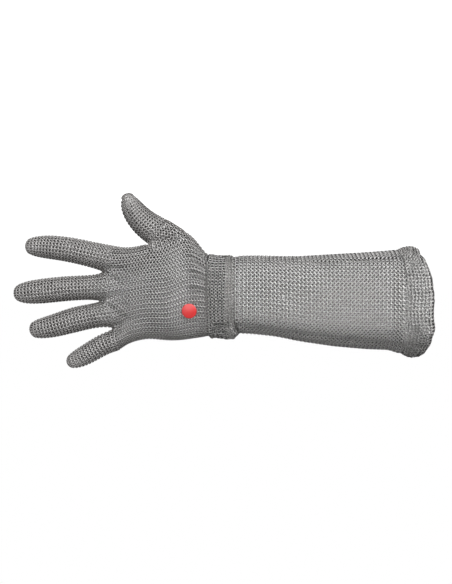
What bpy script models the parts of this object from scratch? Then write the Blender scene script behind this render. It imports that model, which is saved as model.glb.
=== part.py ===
"""Chainmail glove for the left hand, with a buttoned wrist band and a long forearm cuff.

The glove keeps the form of the hand and arm that it is worn on: the fingers point along -X, the
thumb along +Z, the back of the hand faces -Y and the arm goes out along +X. The origin is the
middle of the wrist. Every mail piece is one closed wall that is hollow inside and open where the
hand goes in. Sizes are in millimetres and become metres where a mesh is made.
"""

import math
from collections import namedtuple

import bmesh
import bpy
from mathutils import Matrix, Vector
from mathutils.bvhtree import BVHTree

MM = 0.001

# ---------------------------------------------------------------- driving dimensions
MAIL_WALL = 1.8          # one layer of mail, its rings lying aslant
GAP = 0.3                # between two pieces that touch
BACK_COLUMNS = 12        # cage columns across the back of the hand, three to a finger
FINGER_COLUMNS = 3       # cage columns across one side of a finger
ARC_SAMPLES = 90         # points along half an oval before it is cut into columns
EDGE_COLUMNS = 2         # cuff columns from its top to the upper crease
FACE_COLUMNS = 10        # cuff columns from the upper crease to the lower one
FLANK_COLUMNS = 5        # cuff columns from the lower crease to its bottom
HALF_TUBE = 1 + EDGE_COLUMNS + FACE_COLUMNS + FLANK_COLUMNS
CAGE_GROWTH_FINGER = 1.09    # an eight-sided cage lies this much outside the tube that it rounds to
CAGE_GROWTH_THUMB = 1.035    # and a twelve-sided one this much
WEB_HALF_DEPTH = 4.0     # from the middle of the hand to either side of the web between two fingers
KNUCKLE_DEPTH = 12.5     # from the middle of the hand to the back or palm side at the finger roots

# crease is how far the cuff's two creases stand out of its oval, and upper and lower are their heights.
PalmSection = namedtuple("PalmSection", "x z_thumb_side z_little_side back palm roundness valley")
TubeSection = namedtuple("TubeSection", "x z_thumb_side z_little_side back palm roundness upper lower crease")
DigitSection = namedtuple("DigitSection", "x z y width depth")
BandRow = namedtuple("BandRow", "x rise swell")
Lobe = namedtuple("Lobe", "angle spread rise start_shift end_shift")
Edge = namedtuple("Edge", "x z")
RootCut = namedtuple("RootCut", "x z half_width half_depth")

# Where the edges of the four finger roots lie, from the index finger's outer edge to the little one's.
KNUCKLE_EDGES = (
    Edge(-107.0, 49.2),
    Edge(-115.5, 22.4),
    Edge(-115.5, -6.0),
    Edge(-103.6, -32.0),
    Edge(-99.0, -54.8),
)

# The hand from the knuckles to the wrist. back and palm are the depths on either side of its middle,
# and valley is how far the grooves between the knuckles still show.
PALM_SECTIONS = (
    PalmSection(-91.0, 46.8, -47.8, 14.5, 14.5, 2.5, 3.0),
    PalmSection(-72.5, 51.5, -43.6, 16.5, 16.5, 2.4, 0.8),
    PalmSection(-60.8, 52.0, -45.0, 17.5, 18.5, 2.3, 0.2),
    PalmSection(-49.0, 56.0, -46.0, 18.5, 20.5, 2.3, 0.0),
    PalmSection(-36.3, 64.6, -45.8, 19.5, 21.5, 2.2, 0.0),
    PalmSection(-25.0, 56.8, -44.2, 20.5, 22.0, 2.2, 0.0),
    PalmSection(-13.5, 38.2, -38.4, 21.2, 22.0, 2.2, 0.0),
    PalmSection(-3.0, 35.6, -36.8, 21.5, 22.0, 2.2, 0.0),
)
THUMB_FIRST, THUMB_LAST = 1, 4    # the palm sections that the thumb's root loop runs between

# Each digit from its root to its tip; the last row is the small ring that its cap closes.
INDEX = (
    DigitSection(-124.5, 39.0, 0.0, 25.8, 22.5),
    DigitSection(-145.0, 44.2, 0.4, 25.2, 21.6),
    DigitSection(-168.0, 47.2, 2.6, 24.0, 20.4),
    DigitSection(-184.0, 47.9, 5.0, 20.8, 17.0),
    DigitSection(-192.0, 48.0, 6.6, 14.0, 7.8),
)
MIDDLE = (
    DigitSection(-127.0, 7.4, 0.0, 24.4, 22.8),
    DigitSection(-150.0, 6.6, 0.5, 24.8, 21.8),
    DigitSection(-176.0, 3.7, 3.2, 25.2, 20.6),
    DigitSection(-195.5, 1.9, 6.6, 22.4, 17.4),
    DigitSection(-204.0, 1.7, 8.4, 14.6, 8.0),
)
RING = (
    DigitSection(-123.0, -19.9, 0.0, 24.0, 22.0),
    DigitSection(-144.0, -24.8, 0.6, 23.8, 21.0),
    DigitSection(-165.0, -30.8, 2.8, 23.0, 19.8),
    DigitSection(-182.0, -33.9, 5.4, 20.0, 16.2),
    DigitSection(-189.0, -34.8, 6.8, 13.6, 7.4),
)
LITTLE = (
    DigitSection(-112.5, -46.8, 0.2, 21.6, 19.8),
    DigitSection(-124.5, -53.4, 0.8, 21.0, 19.0),
    DigitSection(-136.5, -60.2, 2.0, 20.2, 17.8),
    DigitSection(-145.4, -64.2, 3.0, 16.8, 14.4),
    DigitSection(-150.4, -66.2, 3.8, 11.8, 6.8),
)
THUMB = (
    DigitSection(-60.4, 61.0, 3.0, 31.0, 29.0),
    DigitSection(-74.2, 70.4, 7.0, 28.8, 26.0),
    DigitSection(-85.8, 82.8, 11.0, 25.6, 22.6),
    DigitSection(-92.0, 92.2, 13.4, 19.6, 17.0),
    DigitSection(-94.2, 98.4, 14.6, 12.4, 10.0),
)

# Where each digit is cut off the palm: a point on its middle line and the size of the cutter round it.
ROOT_CUTS = {
    "index_finger": RootCut(-121.5, 38.4, 15.2, 20.0),
    "middle_finger": RootCut(-121.5, 8.0, 14.6, 20.0),
    "ring_finger": RootCut(-120.5, -19.2, 13.9, 20.0),
    "little_finger": RootCut(-111.6, -46.4, 14.0, 20.0),
    "thumb": RootCut(-63.0, 65.5, 20.0, 26.0),
}
CUTTER_OVERRUN = 15.0    # how far a cutter reaches past the tip

# The forearm cuff from under the wrist band to the arm opening.
CUFF_SECTIONS = (
    TubeSection(-2.6, 35.6, -36.8, 21.5, 22.0, 2.2, 24.0, -20.0, 0.0),
    TubeSection(9.0, 36.2, -37.0, 23.2, 23.5, 2.2, 26.0, -21.5, 0.8),
    TubeSection(17.0, 38.8, -37.8, 25.0, 25.5, 2.3, 30.0, -23.0, 1.6),
    TubeSection(34.0, 39.2, -38.8, 27.0, 27.5, 2.4, 32.5, -25.5, 2.0),
    TubeSection(54.0, 38.5, -41.0, 28.8, 29.5, 2.5, 33.0, -28.5, 2.2),
    TubeSection(78.0, 38.4, -45.8, 31.0, 32.0, 2.6, 33.4, -31.6, 2.4),
    TubeSection(110.0, 40.2, -50.4, 34.2, 35.2, 2.6, 35.0, -36.0, 2.6),
    TubeSection(142.0, 42.0, -53.2, 36.6, 37.8, 2.5, 36.6, -40.6, 2.6),
    TubeSection(164.0, 43.8, -54.0, 38.4, 39.4, 2.4, 37.6, -45.0, 2.4),
    TubeSection(173.0, 44.6, -57.4, 39.2, 40.2, 2.4, 38.0, -47.0, 2.0),
    TubeSection(189.0, 43.6, -57.0, 40.0, 41.0, 2.4, 37.0, -48.0, 1.0),
)

# Outline of each band's wall: along its outside from the hand to the arm, then back along its inside.
# swell is how much of the band's lobes a row takes on.
WRIST_BAND_ROWS = (
    BandRow(-15.8, 0.9, 0.0),
    BandRow(-15.8, 2.4, 0.0),
    BandRow(-12.6, 3.5, 0.3),
    BandRow(-3.0, 3.7, 0.8),
    BandRow(6.5, 3.6, 1.0),
    BandRow(9.0, 4.3, 1.0),
    BandRow(12.8, 4.1, 0.8),
    BandRow(14.6, 2.6, 0.3),
    BandRow(14.6, 0.4, 0.0),
)
HEM_BAND_ROWS = (
    BandRow(175.0, 0.4, 0.0),
    BandRow(174.8, 2.2, 0.4),
    BandRow(177.6, 3.6, 0.7),
    BandRow(184.5, 3.9, 1.0),
    BandRow(192.5, 3.8, 1.0),
    BandRow(198.0, 2.6, 0.8),
    BandRow(200.0, -0.2, 0.4),
    BandRow(198.6, -2.4, 0.2),
    BandRow(196.4, -2.2, 0.0),
    BandRow(196.0, 0.4, 0.0),
)
# Bulges of the two bands. angle goes from the thumb side (0) over the back of the hand (90) to the
# little finger's side (180), and the shifts move the band's edges along the arm.
WRIST_LOBES = (
    Lobe(0.0, 30.0, 0.0, 4.4, 0.0),
    Lobe(166.0, 24.0, 1.8, 0.0, 2.6),
)
HEM_LOBES = (
    Lobe(5.0, 30.0, -0.6, -3.0, -5.6),
    Lobe(100.0, 46.0, 0.0, 1.5, 2.6),
    Lobe(178.0, 26.0, 0.2, 1.5, -3.2),
)

# The press button on the back of the hand, and the plain rivet that holds it through the mail.
BUTTON_X, BUTTON_Z = -30.5, -15.4
BUTTON_RADIUS = 7.1
BUTTON_HEIGHT = 3.2
BUTTON_RIM = 0.9                        # height of the cap's straight edge
BUTTON_DOME_ANGLES = (18, 36, 54, 70, 82)
BUTTON_CHAMFER = 0.3
RIVET_RADIUS = 1.9
RIVET_CLEARANCE = 0.4
RIVET_FLANGE_RADIUS = 5.0
RIVET_FLANGE_HEIGHT = 1.0
ROUND_STEPS = 24

THUMB_TIP_SHARE = 0.62   # how far the inner corners of the thumb's cap lie towards its middle
THUMB_TIP_BULGE = 3.0

STEEL_RGB = (0.56, 0.54, 0.52, 1.0)
BAND_RGB = (0.50, 0.49, 0.48, 1.0)
BUTTON_RGB = (0.80, 0.035, 0.030, 1.0)


# ---------------------------------------------------------------- scene helpers
def clear_scene():
    """Empty the scene without reloading the file."""
    for obj in list(bpy.data.objects):
        bpy.data.objects.remove(obj, do_unlink=True)


def make_collection(name, parent=None):
    """A new collection linked to the scene or to another collection."""
    collection = bpy.data.collections.new(name)
    (parent or bpy.context.scene.collection).children.link(collection)
    return collection


def make_material(name, rgb, roughness, metallic):
    """A Principled material with one colour."""
    material = bpy.data.materials.new(name)
    material.use_nodes = True
    shader = material.node_tree.nodes["Principled BSDF"]
    shader.inputs["Base Color"].default_value = rgb
    shader.inputs["Roughness"].default_value = roughness
    shader.inputs["Metallic"].default_value = metallic
    return material


def add_object(name, bm, collection, material=None):
    """Turn a bmesh made in millimetres into an object in metres."""
    bmesh.ops.scale(bm, vec=(MM, MM, MM), verts=bm.verts)
    mesh = bpy.data.meshes.new(name)
    bm.to_mesh(mesh)
    bm.free()
    mesh.shade_smooth()
    obj = bpy.data.objects.new(name, mesh)
    if material:
        mesh.materials.append(material)
    collection.objects.link(obj)
    return obj


def add_boolean(obj, cutter, operation):
    """Cut or trim obj with a closed cutter."""
    modifier = obj.modifiers.new(f"{operation.lower()}_{cutter.name}", "BOOLEAN")
    modifier.operation = operation
    modifier.object = cutter


def mark_cutter(obj):
    """Keep a helper solid out of renders and show it as wires."""
    obj.hide_render = True
    obj.display_type = "WIRE"
    return obj


def add_cutter(name, bm, collection):
    """A helper solid that stays out of the finished glove."""
    return mark_cutter(add_object(name, bm, collection))


# ---------------------------------------------------------------- rings round the hand and arm
def half_oval(section, depth):
    """Points (y, z) from an oval's top round one side to its bottom, and the way travelled to each."""
    middle = (section.z_thumb_side + section.z_little_side) / 2
    half = (section.z_thumb_side - section.z_little_side) / 2
    points = []
    for i in range(ARC_SAMPLES + 1):
        turn = math.pi * i / ARC_SAMPLES
        across, up = math.sin(turn), math.cos(turn)
        y = depth * across ** (2 / section.roundness)
        z = middle + math.copysign(half * abs(up) ** (2 / section.roundness), up)
        points.append(Vector((y, z)))
    travelled = [0.0]
    for a, b in zip(points, points[1:]):
        travelled.append(travelled[-1] + (b - a).length)
    return points, travelled


def along_half(points, travelled, way):
    """The point of a half oval that lies the given way along it."""
    for a, b, start, end in zip(points, points[1:], travelled, travelled[1:]):
        if way <= end:
            return a.lerp(b, (way - start) / (end - start))
    return points[-1]


def oval_ring(section, columns):
    """A closed ring of equal columns: over the back from the thumb side down, then up the palm."""
    halves = []
    for side, depth in ((-1, section.back), (1, section.palm)):
        points, travelled = half_oval(section, depth)
        step = travelled[-1] / columns
        half = [along_half(points, travelled, step * (k + 0.5)) for k in range(columns)]
        halves.append([Vector((section.x, side * y, z)) for y, z in half])
    return halves[0] + halves[1][::-1]


def creased_ring(section):
    """A closed ring whose back has a column on each crease, with the face between them pulled flat."""
    ring = oval_ring(section, HALF_TUBE)
    points, travelled = half_oval(section, section.back)
    upper = next(way for (_, z), way in zip(points, travelled) if z <= section.upper)
    lower = next(way for (_, z), way in zip(points, travelled) if z <= section.lower)
    total = travelled[-1]
    for k in range(HALF_TUBE):
        if k <= EDGE_COLUMNS:
            share = (k + 0.5) / (EDGE_COLUMNS + 0.5)
            way, push = upper * share, 0.6 * share
        elif k <= EDGE_COLUMNS + FACE_COLUMNS:
            share = (k - EDGE_COLUMNS) / FACE_COLUMNS
            way, push = upper + (lower - upper) * share, 0.6 * (1 - share) + share - 1.2 * share * (1 - share)
        else:
            share = (k - EDGE_COLUMNS - FACE_COLUMNS) / (FLANK_COLUMNS + 0.5)
            way, push = lower + (total - lower) * share, (1 - share) * (1 - 3.2 * share)
        y, z = along_half(points, travelled, way)
        ring[k] = Vector((section.x, -y - push * section.crease, z))
    return ring


def palm_ring(section):
    """An oval ring with the grooves between the knuckles pressed in."""
    ring = oval_ring(section, BACK_COLUMNS + 1)
    for k in range(FINGER_COLUMNS, BACK_COLUMNS, FINGER_COLUMNS):
        ring[k].y += section.valley
        ring[-1 - k].y -= section.valley
    return ring


def knuckle_ring():
    """The ring that the four finger roots share: their webs lie deep and their backs stand up."""
    back, palm = [], []
    for finger in range(4):
        edge, following = KNUCKLE_EDGES[finger], KNUCKLE_EDGES[finger + 1]
        for share, depth in ((0.0, WEB_HALF_DEPTH), (0.29, KNUCKLE_DEPTH), (0.71, KNUCKLE_DEPTH)):
            x = edge.x + (following.x - edge.x) * share
            z = edge.z + (following.z - edge.z) * share
            back.append(Vector((x, -depth, z)))
            palm.append(Vector((x, depth, z)))
    last = KNUCKLE_EDGES[-1]
    back.append(Vector((last.x, -WEB_HALF_DEPTH, last.z)))
    palm.append(Vector((last.x, WEB_HALF_DEPTH, last.z)))
    return back + palm[::-1]


def digit_axes(sections, i):
    """The direction, the thumb-side direction and the back-of-hand direction of a digit at one section."""
    before, after = sections[max(i - 1, 0)], sections[min(i + 1, len(sections) - 1)]
    along = Vector((after.x - before.x, after.y - before.y, after.z - before.z)).normalized()
    across = Vector((along.z, 0.0, -along.x)).normalized()
    return along, across, across.cross(along)


def digit_ring(sections, i, angles, growth):
    """One ring of a digit's cage, at the given angles from its thumb side towards the back of the hand."""
    section = sections[i]
    _, across, back = digit_axes(sections, i)
    centre = Vector((section.x, section.y, section.z))
    return [
        centre
        + across * (section.width / 2 * growth * math.cos(math.radians(angle)))
        + back * (section.depth / 2 * growth * math.sin(math.radians(angle)))
        for angle in angles
    ]


# ---------------------------------------------------------------- cage surfaces
def new_ring(bm, points):
    """Vertices for one ring."""
    return [bm.verts.new(p) for p in points]


def skin(bm, ring, following, skipped=()):
    """Faces between two rings of the same length, but not at the skipped columns."""
    count = len(ring)
    for k in range(count):
        if k not in skipped:
            bm.faces.new((ring[k], ring[(k + 1) % count], following[(k + 1) % count], following[k]))


def close_finger(bm, ring):
    """Three faces across the eight-sided ring at a fingertip."""
    for k in range(FINGER_COLUMNS):
        bm.faces.new((ring[k], ring[k + 1], ring[-2 - k], ring[-1 - k]))


def close_thumb(bm, ring, along):
    """Nine faces across the twelve-sided ring at the thumb's tip, the middle one pushed out along it."""
    rim = ring[1:] + ring[:1]
    middle = sum((v.co for v in ring), Vector()) / len(ring)
    bulge = along * THUMB_TIP_BULGE
    inner = [bm.verts.new(rim[k].co.lerp(middle, THUMB_TIP_SHARE) + bulge) for k in (0, 3, 6, 9)]
    for k in range(4):
        corner = 3 * k
        bm.faces.new((rim[corner - 1], rim[corner], rim[corner + 1], inner[k]))
        bm.faces.new((rim[corner - 2], rim[corner - 1], inner[k], inner[k - 1]))
    bm.faces.new(inner)


def hand_cage():
    """The whole hand as one coarse open surface: palm, four fingers and thumb."""
    bm = bmesh.new()
    knuckles = new_ring(bm, knuckle_ring())
    rings = [knuckles] + [new_ring(bm, palm_ring(s)) for s in PALM_SECTIONS]
    thumb_columns = (0, len(knuckles) - 1, len(knuckles) - 2)
    for i, (ring, following) in enumerate(zip(rings, rings[1:])):
        open_here = THUMB_FIRST < i <= THUMB_LAST
        skin(bm, ring, following, thumb_columns if open_here else ())

    finger_angles = [22.5 + 45.0 * k for k in range(8)]
    for finger, sections in enumerate((INDEX, MIDDLE, RING, LITTLE)):
        first = finger * FINGER_COLUMNS
        back = knuckles[first:first + FINGER_COLUMNS + 1]
        palm = [knuckles[-1 - k] for k in range(first + FINGER_COLUMNS, first - 1, -1)]
        ring = back + palm
        for i in range(len(sections)):
            following = new_ring(bm, digit_ring(sections, i, finger_angles, CAGE_GROWTH_FINGER))
            skin(bm, ring, following)
            ring = following
        close_finger(bm, ring)

    # The thumb's root loop starts at the wrist end of the thumb side and goes up the back, over the
    # web and down the palm.
    stretch = rings[THUMB_FIRST + 1:THUMB_LAST + 2]
    near, far = stretch[0], stretch[-1]
    ring = [far[0]] + [r[1] for r in reversed(stretch)] + [near[0], near[-1]]
    ring += [r[-2] for r in stretch] + [far[-1]]
    thumb_angles = [15.0 + 30.0 * k for k in range(12)]
    for i in range(len(THUMB)):
        following = new_ring(bm, digit_ring(THUMB, i, thumb_angles, CAGE_GROWTH_THUMB))
        skin(bm, ring, following)
        ring = following
    along, _, _ = digit_axes(THUMB, len(THUMB) - 1)
    close_thumb(bm, ring, along)

    loose = [v for v in bm.verts if not v.link_faces]
    bmesh.ops.delete(bm, geom=loose, context="VERTS")
    bmesh.ops.recalc_face_normals(bm, faces=bm.faces)
    return bm


# ---------------------------------------------------------------- the hand
def root_box(name, digit, advance, collection):
    """A box that holds one whole digit beyond its root plane, moved along the digit by advance."""
    cut, tip = ROOT_CUTS[name], digit[-1]
    root = Vector((cut.x, 0.0, cut.z))
    reach = Vector((tip.x, 0.0, tip.z)) - root
    along = reach.normalized()
    across = Vector((along.z, 0.0, -along.x))
    length = reach.length + CUTTER_OVERRUN
    bm = bmesh.new()
    bmesh.ops.create_cube(bm, size=1.0)
    size = Matrix.Diagonal((length, 2 * cut.half_width, 2 * cut.half_depth, 1.0))
    turn = Matrix((along, across, along.cross(across))).transposed().to_4x4()
    place = Matrix.Translation(root + along * (advance + length / 2))
    bmesh.ops.transform(bm, matrix=place @ turn @ size, verts=bm.verts)
    bmesh.ops.recalc_face_normals(bm, faces=bm.faces)
    return add_cutter(f"{name}_cutter_{'digit' if advance > 0 else 'palm'}", bm, collection)


def walled_hand(name, collection, material):
    """The hand's surface, smoothed once and given the mail's thickness inwards."""
    obj = add_object(name, hand_cage(), collection, material)
    smooth = obj.modifiers.new("smooth", "SUBSURF")
    smooth.levels = smooth.render_levels = 1
    wall = obj.modifiers.new("wall", "SOLIDIFY")
    wall.thickness = MAIL_WALL * MM
    wall.offset = -1.0
    wall.use_even_offset = False
    return obj


def build_hand(parts, cutters, material):
    """The palm body and the five digits, each a hollow wall cut off at its root."""
    digits = {
        "index_finger": INDEX,
        "middle_finger": MIDDLE,
        "ring_finger": RING,
        "little_finger": LITTLE,
        "thumb": THUMB,
    }
    palm = walled_hand("palm_body", parts, material)
    for name, sections in digits.items():
        digit = walled_hand(name, parts, material)
        add_boolean(digit, root_box(name, sections, GAP / 2, cutters), "INTERSECT")
        add_boolean(palm, root_box(name, sections, -GAP / 2, cutters), "DIFFERENCE")
    return palm


# ---------------------------------------------------------------- cuff and bands
def wrist_sections():
    """Ovals on the hand's smoothed surface at the wrist: half way to a cage ring, at it and past it."""
    before, ring, after = PALM_SECTIONS[-3:]
    blends = ((0.5, 0.5, 0.0), (0.125, 0.75, 0.125), (0.0, 0.5, 0.5))
    return [
        TubeSection(
            *[sum(w * v for w, v in zip(blend, values)) for values in zip(before[:6], ring[:6], after[:6])],
            *CUFF_SECTIONS[0][6:],
        )
        for blend in blends
    ]


def arm_section(x):
    """The oval at any station along the wrist and the cuff."""
    rows = wrist_sections() + list(CUFF_SECTIONS)
    for a, b in zip(rows, rows[1:]):
        if x <= b.x:
            share = (x - a.x) / (b.x - a.x)
            return TubeSection(*[u + (v - u) * share for u, v in zip(a, b)])
    return rows[-1]._replace(x=x)


def build_cuff(parts, material):
    """The long mail tube over the forearm."""
    bm = bmesh.new()
    rings = [new_ring(bm, creased_ring(s)) for s in CUFF_SECTIONS]
    for ring, following in zip(rings, rings[1:]):
        skin(bm, ring, following)
    bmesh.ops.recalc_face_normals(bm, faces=bm.faces)
    cuff = add_object("forearm_cuff", bm, parts, material)
    wall = cuff.modifiers.new("wall", "SOLIDIFY")
    wall.thickness = MAIL_WALL * MM
    wall.offset = -1.0
    return cuff


def lobed(lobes, angle, amount):
    """The sum of one amount over the lobes, each fading away from its own angle."""
    total = 0.0
    for lobe in lobes:
        away = abs((angle - lobe.angle + 180.0) % 360.0 - 180.0)
        total += getattr(lobe, amount) * math.exp(-((away / lobe.spread) ** 2))
    return total


def band_ring(row, rows, lobes):
    """One ring of a band: the arm's ring at that row, pushed out by the row's rise and the lobes."""
    start, end = min(r.x for r in rows), max(r.x for r in rows)
    share = (row.x - start) / (end - start)
    columns = 2 * HALF_TUBE
    ring = []
    for k in range(columns):
        angle = 360.0 * (k + 0.5) / columns
        shift = (1 - share) * lobed(lobes, angle, "start_shift") + share * lobed(lobes, angle, "end_shift")
        base = creased_ring(arm_section(row.x + shift))
        side = (base[(k + 1) % columns] - base[k - 1]).normalized()
        outward = side.cross(Vector((1.0, 0.0, 0.0)))
        ring.append(base[k] + outward * (row.rise + row.swell * lobed(lobes, angle, "rise")))
    return ring


def build_band(name, rows, lobes, parts, material):
    """A band of folded mail round the arm, its wall going round the given rows."""
    bm = bmesh.new()
    rings = [new_ring(bm, band_ring(row, rows, lobes)) for row in rows]
    for ring, following in zip(rings, rings[1:] + rings[:1]):
        skin(bm, ring, following)
    bmesh.ops.recalc_face_normals(bm, faces=bm.faces)
    return add_object(name, bm, parts, material)


# ---------------------------------------------------------------- button
def surface_under_button(palm):
    """The point and the outward direction of the palm body's back under the button's middle."""
    graph = bpy.context.evaluated_depsgraph_get()
    tree = BVHTree.FromObject(palm, graph)
    start = Vector((BUTTON_X, -100.0, BUTTON_Z)) * MM
    point, normal, _, _ = tree.ray_cast(start, Vector((0.0, 1.0, 0.0)))
    return point / MM, normal


def seat_matrix(seat, outward):
    """The placing of a turned piece whose +Z points out of the mail at the seat."""
    return Matrix.Translation(seat * MM) @ outward.to_track_quat("Z", "Y").to_matrix().to_4x4()


def turned(name, profile, placing, collection, material=None):
    """A turned solid: its profile of (radius, height) runs down its outer side from top to bottom."""
    bm = bmesh.new()
    path = [bm.verts.new((radius, 0.0, height)) for radius, height in profile]
    for a, b in zip(path, path[1:]):
        bm.edges.new((a, b))
    obj = add_object(name, bm, collection, material)
    obj.matrix_world = placing
    screw = obj.modifiers.new("turn", "SCREW")
    screw.steps = screw.render_steps = ROUND_STEPS
    screw.use_merge_vertices = True
    screw.merge_threshold = 0.00001
    return obj


def button_profile():
    """Half outline of the domed cap, from its top to its foot just over the mail."""
    dome = [
        (
            BUTTON_RADIUS * math.sin(math.radians(angle)),
            GAP + BUTTON_RIM + (BUTTON_HEIGHT - BUTTON_RIM) * math.cos(math.radians(angle)),
        )
        for angle in BUTTON_DOME_ANGLES
    ]
    foot = [
        (BUTTON_RADIUS, GAP + BUTTON_RIM),
        (BUTTON_RADIUS, GAP + BUTTON_CHAMFER),
        (BUTTON_RADIUS - BUTTON_CHAMFER, GAP),
        (0.0, GAP),
    ]
    return [(0.0, GAP + BUTTON_HEIGHT)] + dome + foot


def rivet_profile():
    """Half outline of the rivet, from under the cap to its flange inside the hand."""
    flange = -(MAIL_WALL + 2 * GAP)
    return [
        (0.0, 0.0),
        (RIVET_RADIUS, 0.0),
        (RIVET_RADIUS, flange),
        (RIVET_FLANGE_RADIUS, flange),
        (RIVET_FLANGE_RADIUS, flange - RIVET_FLANGE_HEIGHT),
        (0.0, flange - RIVET_FLANGE_HEIGHT),
    ]


def build_button(palm, parts, cutters, red, steel):
    """The domed red cap on the back of the hand and the rivet that holds it through the mail."""
    seat, outward = surface_under_button(palm)
    placing = seat_matrix(seat, outward)
    turned("button_cap", button_profile(), placing, parts, red)
    turned("button_rivet", rivet_profile(), placing, parts, steel)

    hole = RIVET_RADIUS + RIVET_CLEARANCE
    half = 2 * MAIL_WALL
    profile = [(0.0, half), (hole, half), (hole, -half), (0.0, -half)]
    cutter = turned("rivet_hole_cutter", profile, placing, cutters)
    add_boolean(palm, mark_cutter(cutter), "DIFFERENCE")


def main():
    """Build the whole glove."""
    clear_scene()
    parts = make_collection("chainmail_glove")
    cutters = make_collection("cutters")
    steel = make_material("steel_mail", STEEL_RGB, 0.42, 1.0)
    band_steel = make_material("folded_steel_mail", BAND_RGB, 0.48, 1.0)
    red = make_material("red_button", BUTTON_RGB, 0.35, 0.0)
    palm = build_hand(parts, cutters, steel)
    build_button(palm, parts, cutters, red, steel)
    build_cuff(parts, steel)
    build_band("wrist_band", WRIST_BAND_ROWS, WRIST_LOBES, parts, band_steel)
    build_band("hem_band", HEM_BAND_ROWS, HEM_LOBES, parts, band_steel)


main()
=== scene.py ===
"""Looks of a chainmail glove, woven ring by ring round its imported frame.

Every mail piece is a sheet of small round steel rings, in which rings of neighbouring rows lean opposite
ways and pass through each other. The rows run along the fingers and the arm, and round the wrist band and
the thumb's root. Sizes are in millimetres, in the frame's own axes: fingers along -X, thumb along +Z, back
of the hand facing -Y.
"""

from __future__ import annotations

import logging
import math
from dataclasses import dataclass, field
from enum import Enum
from typing import Any, Iterable, NamedTuple, Sequence

import bmesh
import bpy
import numpy as np
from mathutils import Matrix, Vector

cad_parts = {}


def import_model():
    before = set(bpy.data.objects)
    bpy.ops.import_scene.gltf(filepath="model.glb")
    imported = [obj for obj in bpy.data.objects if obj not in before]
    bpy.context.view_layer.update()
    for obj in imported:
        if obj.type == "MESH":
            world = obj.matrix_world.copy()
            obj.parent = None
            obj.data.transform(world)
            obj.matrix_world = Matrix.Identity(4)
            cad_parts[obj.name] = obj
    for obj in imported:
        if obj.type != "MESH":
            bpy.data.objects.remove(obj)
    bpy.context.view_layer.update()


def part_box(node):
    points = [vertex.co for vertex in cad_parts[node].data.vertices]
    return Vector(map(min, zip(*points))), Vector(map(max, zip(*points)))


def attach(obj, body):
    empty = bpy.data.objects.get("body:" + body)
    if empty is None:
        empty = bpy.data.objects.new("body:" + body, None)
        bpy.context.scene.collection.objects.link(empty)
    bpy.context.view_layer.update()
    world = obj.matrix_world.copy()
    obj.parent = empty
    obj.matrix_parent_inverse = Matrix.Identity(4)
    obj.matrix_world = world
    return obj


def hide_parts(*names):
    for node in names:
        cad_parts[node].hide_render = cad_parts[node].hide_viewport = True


MM = 0.001
WALL_MIDDLE = 0.95       # how deep the middle of the mail lies under the outer face of the solid walls
MERGING = 0.01 * MM      # corners closer than this are one
LOG = logging.getLogger("glove")
Array = np.ndarray
Vert = bmesh.types.BMVert
Socket = bpy.types.NodeSocket
Colour = tuple[float, float, float]


class Lay(Enum):
    """Which way the rows of a band run."""

    ALONG = "along the arm"
    ROUND = "round the arm"


# ---------------------------------------------------------------- nodes
class Value:
    """A number socket that takes part in plain arithmetic by adding Math nodes."""

    def __init__(self, tree: bpy.types.NodeTree, socket: Socket) -> None:
        """Wrap one output socket of the tree."""
        self.tree = tree
        self.socket = socket

    def _math(self, operation: str, first: Any, second: Any) -> Value:
        """Add one Math node.

        Args:
            operation: The node's operation.
            first: Its first operand, a Value or a number.
            second: Its second operand, a Value or a number.

        Returns:
            The node's result.
        """
        node = self.tree.nodes.new("ShaderNodeMath")
        node.operation = operation
        for slot, operand in enumerate((first, second)):
            if isinstance(operand, Value):
                self.tree.links.new(operand.socket, node.inputs[slot])
            else:
                node.inputs[slot].default_value = operand
        return Value(self.tree, node.outputs[0])

    def __add__(self, other: Any) -> Value:
        """Sum."""
        return self._math("ADD", self, other)

    __radd__ = __add__

    def __mul__(self, other: Any) -> Value:
        """Product."""
        return self._math("MULTIPLY", self, other)

    __rmul__ = __mul__

    def __sub__(self, other: Any) -> Value:
        """Difference."""
        return self._math("SUBTRACT", self, other)

    def __rsub__(self, other: Any) -> Value:
        """Difference from a plain number."""
        return self._math("SUBTRACT", other, self)


class Nodes:
    """A node tree that is filled by short calls."""

    def __init__(self, tree: bpy.types.NodeTree) -> None:
        """Keep the tree."""
        self.tree = tree

    def node(self, kind: str, settings: dict[str, Any] | None = None, **sockets: Any) -> bpy.types.Node:
        """Add a node.

        Args:
            kind: The node's type.
            settings: Properties that are set before its sockets.
            sockets: Input values or links by socket name, with _ for a space.

        Returns:
            The new node.
        """
        node = self.tree.nodes.new(kind)
        for key, value in (settings or {}).items():
            setattr(node, key, value)
        for key, value in sockets.items():
            self.plug(node, key.replace("_", " "), value)
        return node

    def plug(self, node: bpy.types.Node, name: str, value: Any) -> None:
        """Link or set one input of a node.

        Args:
            node: The node.
            name: The input's name.
            value: What is linked, as a Value or a socket, or the plain value that is set.
        """
        target = next(s for s in node.inputs if s.name == name and s.enabled)
        if isinstance(value, Value):
            value = value.socket
        if isinstance(value, Socket):
            self.tree.links.new(value, target)
        else:
            target.default_value = value

    def value(self, node: bpy.types.Node, output: str) -> Value:
        """One output of a node as an arithmetic value."""
        return Value(self.tree, node.outputs[output])

    def ramp(self, value: Any, start: float, end: float) -> Value:
        """Follow a value smoothly from 0 to 1.

        Args:
            value: The value, as a Value or a socket.
            start: Where the result is 0.
            end: Where the result is 1.

        Returns:
            The result.
        """
        settings = {"interpolation_type": "SMOOTHSTEP"}
        passed = self.node("ShaderNodeMapRange", settings, Value=value, From_Min=start, From_Max=end)
        return self.value(passed, "Result")


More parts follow.
